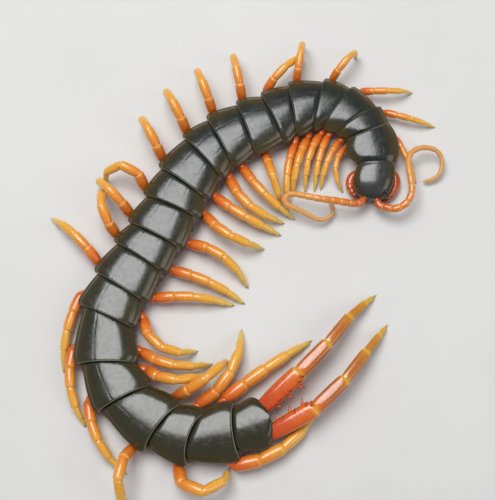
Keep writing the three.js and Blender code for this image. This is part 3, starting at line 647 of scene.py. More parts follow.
@dataclass
class Trunk:
    """Back plates, belly plates, breathing holes and the skin that joins them.

    Widths are shares of a plate's full width, and places along a plate shares of its segment's length.
    `slope` and `front_sink` say how far a plate's front lies under its rear, `rear_bow` and `tail_bows` how
    far its rear corners reach past its middle, and `first_turn` how many degrees the first rear edge turns.
    """

    chain: Chain = CHAIN
    front_width: float = 0.82
    rear_width: float = 0.9
    outer_notch: float = 0.07
    first_at: tuple[float, ...] = (-0.05, 0.1, 0.3, 0.52, 0.8, 1.04)
    first_width: tuple[float, ...] = (0.8, 0.93, 1.05, 1.11, 1.06, 0.93)
    slope: float = 0.36
    front_sink: float = 0.3
    swell: float = 0.03
    plate_thickness: float = 0.34
    start: float = -0.03
    second_start: float = -0.28
    overlap: float = 1.035
    tail_reach: float = 1.18
    first_turn: float = 10.0
    rear_bow: float = 0.03
    tail_bows: tuple[float, ...] = (0.08, 0.2, 0.08, 0.0)
    groove_share: float = 0.3
    groove_depth: float = 0.025
    rim_bead: float = 0.17
    lip: float = 0.1
    skin_reach: float = 0.87
    inner_bulge: float = 0.14
    skin_top: float = 5.25
    skin_middle: float = 2.9
    belly_width: float = 0.56
    belly_thickness: float = 0.25
    holes: tuple[int, ...] = (3, 5, 7, 8, 10, 12, 14, 16, 18, 20)
    hole_place: float = 0.36
    hole_height: float = 3.15
    hole_size: tuple[float, float] = (0.5, 0.3)
    hole_wall: float = 0.13

    def width_share(self, number: int, share: Array, at: Array) -> Array:
        """Width of a plate against its full width: narrow in front, full past the middle, cut behind."""
        if number == 1:
            return smooth_curve(at, self.first_at, self.first_width)
        narrow = self.front_width - self.outer_notch * (number >= 16) * (share > 0)
        front = 1 - (1 - narrow) * np.clip(1 - at / 0.88, 0, 2) ** 1.5
        if number == SEGMENTS:
            return front * np.sqrt(1 - growing(at, 0.72, self.tail_reach + 0.003 - 0.72) ** 2)
        return front * (1 - (1 - self.rear_width) * np.clip((at - 0.87) / 0.15, 0, 2) ** 2.4)

    def back_height(self, number: int, share: Array, at: Array) -> Array:
        """Height of the back: from rim to crown by 1 - s^2/2 - s^6/2, s the share of the half width.

        A plate falls evenly from its rear edge to its front one and dips at the very front, to pass under
        the plate before. Its middle swells a little along its length.
        """
        dip = self.front_sink * np.clip(1 - at / 0.2, 0, 2) ** 2
        sunk = self.slope * (1 - at) + dip + self.chain.sink(number)
        crown = self.chain.crown - sunk + self.swell * np.sin(np.pi * np.clip(at, 0, 1))
        rim = self.chain.rim - 0.4 * sunk
        return rim + (crown - rim) * (1 - 0.5 * share**2 - 0.5 * share**6)

    def spot(self, number: int, share: Array, at: Array, half: Array, height: Array) -> Array:
        """Points of a segment from shares across and along it, half width and height."""
        point, _, left = self.chain.place(number, at)
        return point + left * (share * half)[..., None] + UP * height[..., None]

    def plate_ends(self, number: int) -> tuple[float, float]:
        """Where a back plate begins and ends, in shares of its segment's length."""
        last = number == SEGMENTS
        return self.second_start if number == 2 else self.start, self.tail_reach if last else self.overlap

    def plate_grid(self, number: int) -> tuple[Array, Array]:
        """Shares across and along a back plate, closer together at its side rims and rear edge."""
        start, end = self.plate_ends(number)
        crowding = 2 if number == SEGMENTS else 1
        rear = end - (end - 0.92) * np.linspace(1, 0, 14) ** crowding
        at = np.concatenate([np.linspace(start, 0.9, 22), rear])
        even = np.linspace(-1, 1, 65)
        across = 0.35 * np.sin(even * np.pi / 2) + 0.65 * even
        return np.broadcast_arrays(across[None, :], at[:, None])

    def relief(self, number: int, size: Array, at: Array) -> Array:
        """What stands up from a back plate: side rims and rear lip, less long grooves and rim gutters."""
        bead = self.rim_bead * bell(size, 0.97, 0.018) * np.clip((number + 4) / 10, 0.4, 1)
        groove = self.groove_depth * bell(size, self.groove_share + 0.04 * (1 - at), 0.016)
        lip = self.lip * bell(at, self.plate_ends(number)[1] - 0.018, 0.016)
        return bead + lip - groove * (number < SEGMENTS) - 0.06 * bell(size, 0.9, 0.03)

    def back_plate(self, number: int) -> Surface:
        """One back plate: an arched shell, thinner at its rims, with the relief on its upper side."""
        share, at = self.plate_grid(number)
        size = np.abs(share)
        half = self.chain.widths[number - 1] / 2 * self.width_share(number, share, at)
        height = self.back_height(number, share, at) + self.relief(number, size, at)
        bow = self.tail_bows[number - 18] if number >= 18 else self.rear_bow
        turn = math.radians(self.first_turn) * (number == 1) / self.chain.lengths[0]
        reach = at + (bow * (size**2.5 - 0.3) + turn * share * half) * np.clip(at, 0, 1) ** 2
        thick = self.plate_thickness * (1 - 0.45 * size**6) * np.where(at > 1, 0.8, 1.0)
        top = self.spot(number, share, reach, half, height)
        bottom = self.spot(number, share * 0.975, reach, half, height - thick)
        tone = growing(number, 7, 12) + 0.15 * math.sin(number * 12.9)
        lengthwise = np.clip(at / self.plate_ends(number)[1], 0, 1)
        return closed_slab(top, bottom, {"across": size, "lengthwise": lengthwise, "tone": tone + 0 * at})

    def belly_plate(self, number: int) -> Surface:
        """One belly plate: a thin flat shield with rounded corners and two long grooves."""
        at = np.linspace(0.06, 0.97, 20)[:, None]
        share, at = np.broadcast_arrays(np.linspace(-1, 1, 33)[None, :], at)
        front_cut = 0.3 * np.clip(1 - at / 0.25, 0, 1) ** 2
        rear_cut = 0.25 * growing(at, 0.75, 0.25) ** 2
        half = self.chain.widths[number - 1] / 2 * self.belly_width * (1 - front_cut) * (1 - rear_cut)
        dish = 0.16 * share**4 + 0.05 * bell(np.abs(share), 0.42, 0.04)
        low = self.chain.belly - 0.12 + dish
        under = self.spot(number, share, at, half, low)
        above = self.spot(number, share * 0.96, at, half, low + self.belly_thickness)
        return closed_slab(above, under, {"along": 0.25 + 0.2 * at, "joint": 0.5 * bell(at, 0.97, 0.04)})

    def skin_reach_at(self, along: Array, inner: Array | bool) -> Array:
        """How far the skin reaches to a side, `along` segments behind the neck; it swells inside the bend."""
        half = smooth_curve(along, np.arange(SEGMENTS) + 0.6, np.array(self.chain.widths) / 2)
        swell = np.where(inner, self.inner_bulge, -0.01) * bell(along, 11.0, 5.0)
        return self.skin_reach * half * (1 + swell * np.abs(np.cos(np.pi * along)) ** 0.7)

    def skin(self) -> Surface:
        """Skin round the whole trunk: rings of a rounded oval, swelling between the plates, finely folded.

        A ring's point at angle a lies out by cos(a)^0.8 and up or down by sin(a)^0.8 of its reach. Each
        segment has 14 rings, and both ends are rounded off.
        """
        number = np.repeat(np.arange(1, SEGMENTS + 1), 14)
        at = np.tile(np.linspace(0, 1, 14, endpoint=False), SEGMENTS)
        number, at = np.append(number, SEGMENTS), np.append(at, 0.999)
        places = [self.chain.place(int(n), a) for n, a in zip(number, at)]
        point = np.stack([p[0] for p in places])
        left = np.stack([p[2] for p in places])
        along = (number - 1 + at)[:, None]
        angle = circle(72)[None, :]
        cos, sin = np.cos(angle), np.sin(angle)
        out, lift = squarer(cos, 0.8), squarer(sin, 0.8)
        ends = growing(along, -0.02, 0.18) * growing(-along, -SEGMENTS, 0.12)
        ends = np.sqrt(np.clip(ends, 0.02, 1))
        coarse = 0.05 * np.sin(2 * np.pi * along * 7 + 2 * np.sin(3 * angle))
        fine = 0.04 * np.sin(2 * np.pi * along * 17 + 5 * angle)
        folds = (coarse + fine) * np.abs(cos) ** 0.6
        reach = self.skin_reach_at(along, cos < 0) * (0.5 + 0.5 * ends) + folds
        sunk = self.chain.sink(along + 0.5)
        top, middle = self.skin_top - sunk, self.skin_middle - 0.2 * sunk
        below = middle - self.chain.belly
        height = middle + lift * np.where(lift > 0, top - middle, below) * ends
        rings = point[:, None] + left[:, None] * (out * reach)[..., None] + UP * height[..., None]
        return closed_tube(rings, {"low": np.broadcast_to(np.clip(-sin, 0, 1), height.shape)})

    def breathing_hole(self, number: int, side: Side) -> Surface:
        """Oval rim round one breathing hole: a ring with a thick round wall, lying on the flank."""
        point, tailward, left = self.chain.place(number, self.hole_place)
        outward = left * side.value
        reach = float(self.skin_reach_at(np.array(number - 1 + self.hole_place), side is Side.RIGHT))
        middle = point + outward * (reach - 0.02) + UP * self.hole_height
        count, sides = 24, 10
        turn, tube = np.meshgrid(circle(count), circle(sides), indexing="ij")
        wall = self.hole_wall * np.cos(tube)
        along, up = (self.hole_size[0] + wall) * np.cos(turn), (self.hole_size[1] + wall) * np.sin(turn)
        bulge = 0.8 * self.hole_wall * np.sin(tube)
        points = middle + tailward * along[..., None] + UP * up[..., None] + outward * bulge[..., None]
        quads = grid_quads(count + 1, sides, wrap=True) % (count * sides)
        masks = {"along": np.full(count * sides, 0.4)}
        return Surface(points.reshape(-1, 3), quads, np.zeros((0, 3), int), masks).outward()

    def tail_processes(self) -> list[Surface]:
        """Two swollen roots beside the rear end, each drawn out behind into a blunt point."""
        point, tailward, left = self.chain.place(SEGMENTS, 1.0)
        t = np.linspace(0, 1, 24)
        out = smooth_curve(t, [0, 0.4, 0.75, 1], [2.6, 2.2, 1.1, 0.75])[:, None]
        back = smooth_curve(t, [0, 0.4, 0.75, 1], [-4.6, -2.0, 0.1, 1.45])[:, None]
        height = smooth_curve(t, [0, 0.4, 1], [2.0, 1.9, 1.5])[:, None]
        radii = smooth_curve(t, [0, 0.12, 0.45, 0.7, 0.85, 1], [0.35, 0.95, 1.15, 0.8, 0.45, 0.12])
        masks = {"along": t * 0.3, "joint": t * 0}
        middle = point + tailward * back + UP * height
        return [swept(middle + left * side.value * out, left, radii, 18, masks) for side in Side]

    def build(self, plates: PlateFinish, skin: SkinFinish, shell: LegFinish, horn_finish: HornFinish) -> None:
        """Makes every piece of the trunk."""
        numbers = range(1, SEGMENTS + 1)
        show("flank_skin", [self.skin()], skin.build(), TRUNK_NODES)
        plate_material = plates.build()
        for number in numbers:
            show(f"back_plate_{number:02d}", [self.back_plate(number)], plate_material, [])
        shell_material = shell.build()
        show("belly_plates", [self.belly_plate(n) for n in numbers], shell_material, [])
        holes = [self.breathing_hole(n, side) for n in self.holes for side in Side]
        show("breathing_holes", holes, horn_finish.build(), [])
        show("tail_processes", self.tail_processes(), shell_material, [])


# Legs.


@dataclass(frozen=True)
class LegPose:
    """Degrees that a leg's first piece and foot turn to the tail, its rise, and its place on the segment."""

    turn: float
    foot_turn: float
    rise: float
    at: float = 0.74


LEFT_POSES = [
    LegPose(*p)
    for p in (
        (-75, -80, 10), (-50, -40, 10), (-60, -40, 20), (-30, -20, 50), (-20, -10, 50),
        (-68, -68, 40), (-12, -5, 48), (-8, -4, 55), (-15, -10, 55), (-28, -20, 55),
        (-38, 78, 50), (-22, -12, 55), (-25, -60, 55), (-20, -2, 20), (93, 112, 4),
        (86, 118, 8), (78, 112, 10), (12, 60, 58, 0.82), (42, 185, 45, 0.94), (95, 140, 5, 0.96),
    )
]
RIGHT_POSES = [
    LegPose(*p)
    for p in (
        (-45, -110, 15), (-40, -60, 15, 0.25), (-20, -36, 10, 0.57), (0, -24, 15, 0.3), (22, 10, 25, 0.5),
        (35, 13, 10, 0.45), (6, 0, 52), (-5, -31, 20), (15, -36, 20), (2, -16, 15),
        (25, -20, 30), (-10, 30, 20), (-15, 0, 10), (-35, -20, 10), (45, -40, 30, 0.62),
        (30, -15, 25, 0.76), (50, -15, 45, 0.5), (35, -5, 48, 0.9), (35, -15, 15, 0.9), (60, 65, 5, 0.9),
    )
]
# Places along the hip and along each piece of a leg, and the places where a piece's widths are given.
HIP_AT = np.array([0.0, 0.3, 0.6, 0.8, 0.93])
HIP_WIDTH = np.array([1.15, 1.25, 1.22, 1.12, 0.95])
PIECE_AT = np.array([0.0, 0.03, 0.07, 0.14, 0.25, 0.4, 0.55, 0.7, 0.82, 0.9, 0.945, 0.975])
WIDTH_AT = (0, 0.03, 0.09, 0.3, 0.58, 0.86, 0.93, 0.97, 1)


@dataclass(frozen=True)
class LegSizes:
    """Pieces of a leg from the body outwards: lengths, and diameters at the root, middle and end of each.

    Shares say how much of the leg's fold and of its turn to the foot each piece has. A cross-section
    follows |cos a|^n + |sin a|^n = 1, with n the squareness.
    """

    lengths: tuple[float, ...]
    roots: tuple[float, ...]
    middles: tuple[float, ...]
    ends: tuple[float, ...]
    fold_shares: tuple[float, ...] = (0.0, 0.9, 2.0, 3.0, 3.5)
    heading_shares: tuple[float, ...] = (0.0, 1 / 3, 2 / 3, 1.0, 1.0)
    sides: int = 14
    squareness: float = 2.0
    ring_width: float = 0.24


WALKING = LegSizes(
    lengths=(4.0, 4.1, 4.2, 2.6, 1.7),
    roots=(1.9, 1.8, 1.6, 1.4, 1.0),
    middles=(2.5, 2.3, 2.0, 1.4, 0.9),
    ends=(2.2, 2.0, 1.7, 1.2, 0.6),
)
TRAILING = LegSizes(
    lengths=(10.4, 8.2, 7.4, 5.2, 2.4),
    roots=(3.0, 3.0, 2.4, 1.9, 1.2),
    middles=(4.1, 3.3, 2.6, 1.8, 1.1),
    ends=(3.9, 3.0, 2.4, 1.5, 0.6),
    sides=28,
    squareness=3.5,
    ring_width=0.5,
)


@dataclass
class Leg:
    """One leg: a chain of straight pieces from a hip inside the skin to a foot on the floor.

    Its bends are rounded over `bend_reach`, and fine points keep `clearance` over the floor.
    """

    root: Array
    hip: Array
    headings: Array
    rise: float
    sizes: LegSizes
    size: float = 1.0
    girth: float = 1.0
    hip_length: float = 2.1
    bend_reach: float = 0.32
    clearance: float = 0.06

    def directions(self, fold: float) -> Array:
        """Directions of the pieces when the leg folds down by `fold` in shares."""
        return rising_direction(self.headings, self.rise - fold * np.array(self.sizes.fold_shares))

    def joints(self) -> Array:
        """Hip, root and the end of each piece, with the fold found by halving that brings the foot down."""
        lengths = np.array(self.sizes.lengths)[:, None] * self.size
        foot = 0.52 * self.sizes.ends[-1] * self.girth
        low, high = 0.0, 60.0
        for _ in range(30):
            fold = (low + high) / 2
            end = self.root[2] + (self.directions(fold) * lengths)[:, 2].sum()
            low, high = (fold, high) if end > foot else (low, fold)
        steps = self.directions(low) * lengths
        ends = self.root + np.cumsum(steps, axis=0)
        return np.concatenate([[self.root - self.hip * self.hip_length], [self.root], ends])

    def profile(self) -> tuple[Array, Array, Array, Array]:
        """Rings along the leg: way along, radius, share of the leg and nearness to a joint.

        Each piece starts narrow at its joint, swells to its middle, keeps a slight collar at its end and
        draws in again for the next joint.
        """
        s, last = self.sizes, len(self.sizes.lengths) - 1
        lengths = np.array([self.hip_length, *(np.array(s.lengths) * self.size)])
        starts = np.concatenate([[0.0], np.cumsum(lengths)])
        rows = [np.stack([HIP_AT * lengths[0], HIP_WIDTH * s.roots[0], 0 * HIP_AT, 0 * HIP_AT])]
        for k, (root, middle, end) in enumerate(zip(s.roots, s.middles, s.ends)):
            full_root, full_end = (root + middle) / 2, (end + middle) / 2
            widths = [0.97 * root, 0.96 * full_root, full_root, (full_root + 2 * middle) / 3, 0.99 * middle]
            widths += [full_end, 0.98 * full_end]
            widths += [0.8 * end, 0.72 * end] if k == last else [0.99 * end, 0.9 * end]
            here = PIECE_AT * lengths[k + 1]
            end_ring = (k < last) * bell(here, lengths[k + 1], s.ring_width)
            root_ring = 0.5 * (k > 0) * bell(here, 0.0, 0.6 * s.ring_width)
            diameter = smooth_curve(PIECE_AT, WIDTH_AT, widths)
            share = (k + PIECE_AT) / (last + 1)
            rows.append(np.stack([starts[k + 1] + here, diameter, share, end_ring + root_ring]))
        rows.append(np.array([[starts[-1]], [0.62 * s.ends[-1]], [1.0], [0.0]]))
        way, diameter, share, joint = np.concatenate(rows, axis=1)
        return way, diameter / 2 * self.girth, share, np.clip(joint, 0, 1)

    def centre(self, way: Array, joints: Array) -> Array:
        """Points of the leg's middle line: the chain of pieces, averaged over a short reach at each bend."""
        starts = way_along(joints)
        reach = self.bend_reach * self.girth

        def on_chain(at: Array) -> Array:
            """Point on the straight pieces at a way along, going on straight past both ends."""
            inside = np.clip(at, 0, starts[-1])
            point = np.stack([np.interp(inside, starts, joints[:, c]) for c in range(3)], axis=-1)
            before = unit(joints[1] - joints[0]) * np.minimum(at, 0)[..., None]
            after = unit(joints[-1] - joints[-2]) * np.maximum(at - starts[-1], 0)[..., None]
            return point + before + after

        return (on_chain(way - reach) + 2 * on_chain(way) + on_chain(way + reach)) / 4

    def hints(self, way: Array) -> Array:
        """Sideways direction along the leg, from the headings of its pieces."""
        lengths = np.array(self.sizes.lengths) * self.size
        middles = self.hip_length + np.cumsum(lengths) - lengths / 2
        heading = np.interp(way, middles, np.unwrap(self.headings, period=360))
        return flat_direction(heading + 90)

    def surface(self) -> Surface:
        """Leg's outer surface."""
        way, radius, share, joint = self.profile()
        angle, n = circle(self.sizes.sides), self.sizes.squareness
        squared = (np.abs(np.cos(angle)) ** n + np.abs(np.sin(angle)) ** n) ** (-1 / n)
        radii = radius[:, None] * squared / squared.mean()
        masks = {"along": share, "joint": joint}
        return swept(self.centre(way, self.joints()), self.hints(way), radii, self.sizes.sides, masks)

    def claw(self, length: float) -> list[Surface]:
        """Curved claw at the foot, ending just over the floor, with a short spur at each side of its root."""
        joints = self.joints()
        direction = unit(joints[-1] - joints[-2])
        flat = unit(direction * [1, 1, 0.15])
        width = self.sizes.ends[-1] * 0.58 * self.girth
        start = joints[-1] - direction * 0.12
        tip = start + flat * length
        made = [horn(start, flat, UP * (self.clearance - tip[2]), length, width)]
        side = unit(np.cross(UP, flat))
        for turn in (-1, 1):
            root = start + side * turn * width * 0.3
            made.append(horn(root, unit(flat + side * turn * 0.3), UP * 0.02, length * 0.45, width * 0.35, 5))
        return made

    def spurs(self, length: float) -> list[Surface]:
        """Small spur under the end of each of the three pieces before the last."""
        joints = self.joints()
        made = []
        for k in (3, 4, 5):
            direction = unit(joints[k] - joints[k - 1])
            down = unit(np.cross(unit(np.cross(UP, direction)), direction))
            down = down * (-1 if down[2] > 0 else 1)
            radius = self.sizes.ends[k - 2] / 2 * self.girth
            start = joints[k] - direction * 0.35 + down * radius * 0.55
            lean = unit(direction + down * 0.35)
            lift = max(0.0, self.clearance - (start + lean * length)[2])
            made.append(horn(start, lean, UP * lift, length, radius * 0.5, 5))
        return made


@dataclass
class WalkingLegs:
    """Forty walking legs, their claws and spurs, smaller at the neck and larger at the tail."""

    chain: Chain = CHAIN
    sizes: LegSizes = WALKING
    root_height: float = 2.4
    root_out: float = 0.5
    hip_turn: float = 0.5
    hip_rise: float = 0.4
    hip_most: float = 25.0
    first_size: float = 0.66
    first_girth: float = 0.6
    rear_size: float = 1.28
    rear_girth: float = 1.22
    rear_from: int = 16

    def leg(self, number: int, side: Side) -> Leg:
        """Leg on one side of a segment."""
        pose = (LEFT_POSES if side is Side.LEFT else RIGHT_POSES)[number - 1]
        point, _, left = self.chain.place(number, pose.at)
        outward = left * side.value
        out_heading = math.degrees(math.atan2(outward[1], outward[0]))
        reach = self.chain.widths[number - 1] / 2 + self.root_out
        root = point + outward * reach + UP * self.root_height
        hip_turn = np.clip(pose.turn * self.hip_turn, -self.hip_most, self.hip_most)
        hip = rising_direction(out_heading + side.value * hip_turn, pose.rise * self.hip_rise)
        turns = pose.turn + (pose.foot_turn - pose.turn) * np.array(self.sizes.heading_shares)
        rear = np.clip((number - self.rear_from) / (len(LEFT_POSES) - self.rear_from), 0, 1) ** 2
        size = np.interp(number, [1, 8], [self.first_size, 1]) * (1 + (self.rear_size - 1) * rear)
        girth = np.interp(number, [1, 9], [self.first_girth, 1]) * (1 + (self.rear_girth - 1) * rear)
        headings = out_heading + side.value * turns
        return Leg(root, hip, headings, pose.rise, self.sizes, float(size), float(girth))

    def build(self, finish: LegFinish, claws: HornFinish) -> None:
        """Makes every walking leg, then all their claws and spurs as one piece."""
        material = finish.build()
        points = []
        for side in Side:
            word = side.name.lower()
            for number in range(1, len(LEFT_POSES) + 1):
                leg = self.leg(number, side)
                name = f"leg_{word}_{number:02d}"
                show(f"{name}_shell", [leg.surface()], material, [name])
                points += leg.claw(0.7 * leg.size) + leg.spurs(0.35 * leg.size)
        show("leg_claws", points, claws.build(), [])


@dataclass
class TrailingLegs:
    """Last pair of legs: long, thick, trailed behind, the first piece spiny on its inner side.

    A row of spines is its angle round the piece, the places of its first and last spine, and their count.
    """

    chain: Chain = CHAIN
    sizes: LegSizes = TRAILING
    out: float = 2.7
    height: float = 3.1
    rise: float = 9.0
    left_headings: tuple[float, ...] = (28, 43, 52, 52, 53)
    right_headings: tuple[float, ...] = (42, 45, 51, 43, 39)
    gap: float = 0.3
    spine_rows: Rows = ((55, 0.34, 0.86, 3), (8, 0.22, 0.8, 3), (-45, 0.3, 0.78, 2))
    spine_length: float = 1.1
    spine_base: float = 0.82
    spine_sunk: float = 0.45
    corner: tuple[float, float] = (62.0, 0.95)
    corner_length: float = 1.5

    def leg(self, side: Side) -> Leg:
        """Last leg on one side."""
        point, tailward, left = self.chain.place(SEGMENTS, 1.0)
        root = point + left * side.value * self.out + tailward * self.gap + UP * self.height
        headings = self.left_headings if side is Side.LEFT else self.right_headings
        headings = np.array(headings, float)
        return Leg(root, tailward, headings, self.rise, self.sizes, hip_length=1.8, bend_reach=0.5)

    def spines(self, side: Side) -> list[Surface]:
        """Spines of one leg: rows on the first piece's inner side and a large one on its far corner."""
        joints = self.leg(side).joints()
        start, end = joints[1], joints[2]
        direction = unit(end - start)
        inward = unit(np.cross(UP, direction)) * side.value
        up = np.cross(direction, inward) * side.value
        rows = [(a, f + (t - f) * k / (n - 1)) for a, f, t, n in self.spine_rows for k in range(n)]
        made = []
        for angle, at in [*rows, self.corner]:
            large = (angle, at) == self.corner
            outward = inward * math.cos(math.radians(angle)) + up * math.sin(math.radians(angle))
            radius = float(smooth_curve(at, [0, 0.2, 0.58, 0.9, 1], [1.5, 1.8, 2.05, 2.0, 1.5]))
            root = start + (end - start) * at + outward * (radius - self.spine_sunk)
            length = (self.corner_length if large else self.spine_length) + self.spine_sunk
            base = self.spine_base * (1.35 if large else 1.0)
            made.append(horn(root, unit(outward + direction * 0.35), direction * 0.15, length, base, 9))
        return made

    def build(self, finish: LegFinish, spines: HornFinish, claws: HornFinish) -> None:
        """Makes both last legs with their spines and claws."""
        material, spine_material = finish.build(), spines.build()
        points = []
        for side in Side:
            word = side.name.lower()
            leg = self.leg(side)
            show(f"last_leg_{word}", [leg.surface()], material, [f"leg_{word}_21"])
            show(f"last_leg_spines_{word}", self.spines(side), spine_material, [])
            points += leg.claw(1.0)
        show("last_leg_claws", points, claws.build(), [])


# Head.


@dataclass
class Head:
    """Head shield with its eyes, the claw plate under it, palps and poison claws.

    A ring has its place along the head, half width, crown height and floor height; an eye its place back,
    out and up; a point of a poison claw its place out, back and up, and its thickness.
    """

    chain: Chain = CHAIN
    length: float = 8.0
    neck_gap: float = 0.3
    rings: Rows = (
        (0.0, 1.7, 4.0, 2.7), (0.07, 2.7, 4.6, 2.4), (0.22, 3.65, 5.2, 2.2), (0.45, 4.25, 5.7, 2.2),
        (0.72, 4.25, 5.85, 2.2), (0.92, 3.95, 5.8, 2.2), (1.0, 3.7, 5.7, 2.2),
    )
    edge_drop: float = 1.6
    cheek_tuck: float = 0.114
    notch: float = 0.35
    plate_front: float = 0.27
    plate_height: float = 1.22
    plate_half_thickness: float = 0.62
    tooth_length: float = 0.85
    eye_radius: float = 0.27
    eye_sunk: tuple[float, float] = (0.28, 0.22)
    eye_places: Rows = ((0.9, 3.2, 4.35), (1.35, 3.55, 4.45), (1.05, 2.95, 4.85), (1.5, 3.25, 4.9))
    claw_route: Rows = (
        (2.6, 7.0, 1.25, 1.4), (3.45, 6.6, 1.3, 1.7), (4.2, 6.1, 1.4, 2.0), (4.75, 5.0, 1.4, 2.1),
        (4.75, 3.5, 1.4, 2.0), (4.2, 2.1, 1.35, 1.7), (3.2, 1.0, 1.3, 1.4), (2.0, 0.4, 1.25, 1.0),
        (0.45, 0.12, 1.1, 0.05),
    )

    def spot(self, out: Array, back: Array, height: Array) -> Array:
        """Points of the head: out to the left, back from its front edge and up from the floor."""
        out, back, height = np.broadcast_arrays(*(np.asarray(v, float) for v in (out, back, height)))
        front = self.chain.head_heading
        neck = (front + self.chain.headings[0]) / 2
        tailward = flat_direction(front + (neck - front) * np.clip(back / self.length, 0, 1))
        rear = self.chain.starts()[0] - flat_direction(neck) * self.neck_gap
        middle = rear + flat_direction(front) * (back - self.length)[..., None]
        return middle + np.cross(tailward, UP) * out[..., None] + UP * height[..., None]

    def shell(self) -> Surface:
        """Head: rings whose upper half is a flat dome down to the shield's edge, and lower half the cheeks.

        The upper half has a groove along the front's middle, a pair of grooves behind, raised side rims and
        a rear lip, and it sinks a little round the eyes.
        """
        front, rear = [0.0, 0.008, 0.02, 0.04], [0.95, 0.965, 0.98, 0.99, 1.0]
        at = np.concatenate([front, np.linspace(0.07, 0.93, 26), rear])
        knots, half, crown, floor = np.array(self.rings).T
        half, crown, floor = (smooth_curve(at, knots, v)[:, None] for v in (half, crown, floor))
        at = at[:, None]
        half = half * (0.72 + 0.28 * np.sqrt(growing(at, 0.0, 0.05)))
        angle = circle(96)[None, :]
        cos, sin = np.cos(angle), np.sin(angle)
        share = squarer(cos, 0.72)
        size = np.abs(share)
        edge = crown - self.edge_drop
        upper = edge + self.edge_drop * (1 - 0.42 * share**2 - 0.58 * share**8)
        lower = edge - (edge - floor) * np.abs(sin) ** 0.55
        groove = 0.10 * bell(share, 0.0, 0.02) * bell(at, 0.06, 0.16)
        paired = 0.05 * bell(size, 0.3 + 0.12 * at, 0.02) * growing(at, 0.35, 0.2)
        edging = 0.09 * bell(size, 0.955, 0.02) + 0.06 * bell(at, 0.975, 0.012)
        eye_seat = 0.12 * bell(at, 0.15, 0.08) * bell(size, 0.86, 0.1)
        height = np.where(sin >= 0, upper - groove - paired + edging - eye_seat, lower)
        out = share * half * np.where(sin >= 0, 1.0, 1 - self.cheek_tuck * (1 + sin))
        back = at * self.length + self.notch * bell(share, 0.0, 0.12) * np.clip(1 - at / 0.2, 0, 1)
        masks = {"across": np.where(sin >= 0, size, 0.9) + 0 * at, "lengthwise": 0.96 * at + 0 * sin}
        return closed_tube(self.spot(out, back, height), {**masks, "tone": 0.5 + 0 * height})

    def eyes(self) -> list[Surface]:
        """Four small domed eyes on each side of the head's front."""
        inward, down = self.eye_sunk
        made = []
        for side in Side:
            for back, out, height in self.eye_places:
                centre = self.spot(side.value * (out - inward), back, height - down)
                made.append(ball(centre, self.eye_radius))
        return made

    def claw_plate(self) -> Surface:
        """Broad plate that carries the poison claws: rounded oval rings, grooved along the middle below."""
        front = self.plate_front
        at = np.linspace(front, 1, 30)[:, None]
        half = smooth_curve(at[:, 0], [front, 0.33, 0.4, 0.68, 1], [1.2, 1.9, 2.4, 2.85, 2.95])[:, None]
        rounded = np.sqrt(growing(at, 0.262, 0.05) * growing(-at, -1.008, 0.05))
        angle = circle(56)[None, :]
        cos, sin = np.cos(angle), np.sin(angle)
        out = squarer(cos, 0.6) * half
        height = self.plate_height + squarer(sin, 0.55) * self.plate_half_thickness * (0.6 + 0.4 * rounded)
        height = height + 0.1 * bell(out, 0.0, 0.12) * (sin < 0)
        masks = {"along": 0.25 + 0.1 * at + 0 * sin, "joint": 0 * height}
        return closed_tube(self.spot(out, at * self.length, height), masks)

    def teeth(self) -> list[Surface]:
        """Three dark teeth on each side of the claw plate's front edge."""
        forward = unit(self.spot(0, 0, 0) - self.spot(0, 1, 0))
        made = []
        for side in Side:
            for out in (0.35, 0.8, 1.25):
                root = self.spot(side.value * out, self.plate_front * self.length + 0.15 + 0.12 * out, 1.3)
                made.append(horn(root, forward, 0 * UP, self.tooth_length, 0.5))
        return made

    def poison_claw(self, side: Side) -> Surface:
        """Poison claw: a thick tube curving round the head's front, drawn out into a fine dark point."""
        out, back, height, thick = np.array(self.claw_route).T
        points = self.spot(side.value * out, back, height)
        knots = way_along(points)
        way = np.linspace(0, knots[-1], 70)
        share = way / knots[-1]
        joint = bell(share, 0.46, 0.02) + bell(share, 0.56, 0.018) + bell(share, 0.66, 0.018)
        radii = smooth_curve(way, knots, thick) / 2 * (1 - 0.07 * joint)
        return swept(smooth_curve(way, knots, points), UP, radii, 22, {"along": share, "joint": joint * 0.5})

    def palp(self, side: Side) -> Surface:
        """Jointed palp beside the mouth, under the head's front."""
        t = np.linspace(0, 1, 30)
        route = [(1.5, 4.0, 2.15), (1.35, 1.8, 2.2), (0.55, 0.7, 2.15)]
        out, back, height = smooth_curve(t, [0, 0.5, 1], route).T
        joint = bell(t, 0.5, 0.02) + bell(t, 0.75, 0.02)
        radii = 0.36 * np.sqrt(np.clip((1 - t) / 0.12, 0.04, 1)) * (1 - 0.15 * joint)
        masks = {"along": 0.3 + 0.4 * t, "joint": joint}
        return swept(self.spot(side.value * out, back, height), UP, radii, 14, masks)

    def build(self, shield: PlateFinish, shell: LegFinish, claws: LegFinish, points: HornFinish) -> None:
        """Makes every piece of the head."""
        show("head_shield", [self.shell()], shield.build(), ["head"])
        show("eyes", self.eyes(), EyeFinish().build(), [])
        shell_material = shell.build()
        show("claw_plate_shell", [self.claw_plate()], shell_material, ["claw_plate"])
        show("claw_plate_teeth", self.teeth(), points.build(), [])
        show("palps", [self.palp(side) for side in Side], shell_material, [])
        claw_material = claws.build()
        for side in Side:
            name = f"poison_claw_{side.name.lower()}"
            show(f"{name}_shell", [self.poison_claw(side)], claw_material, [name])


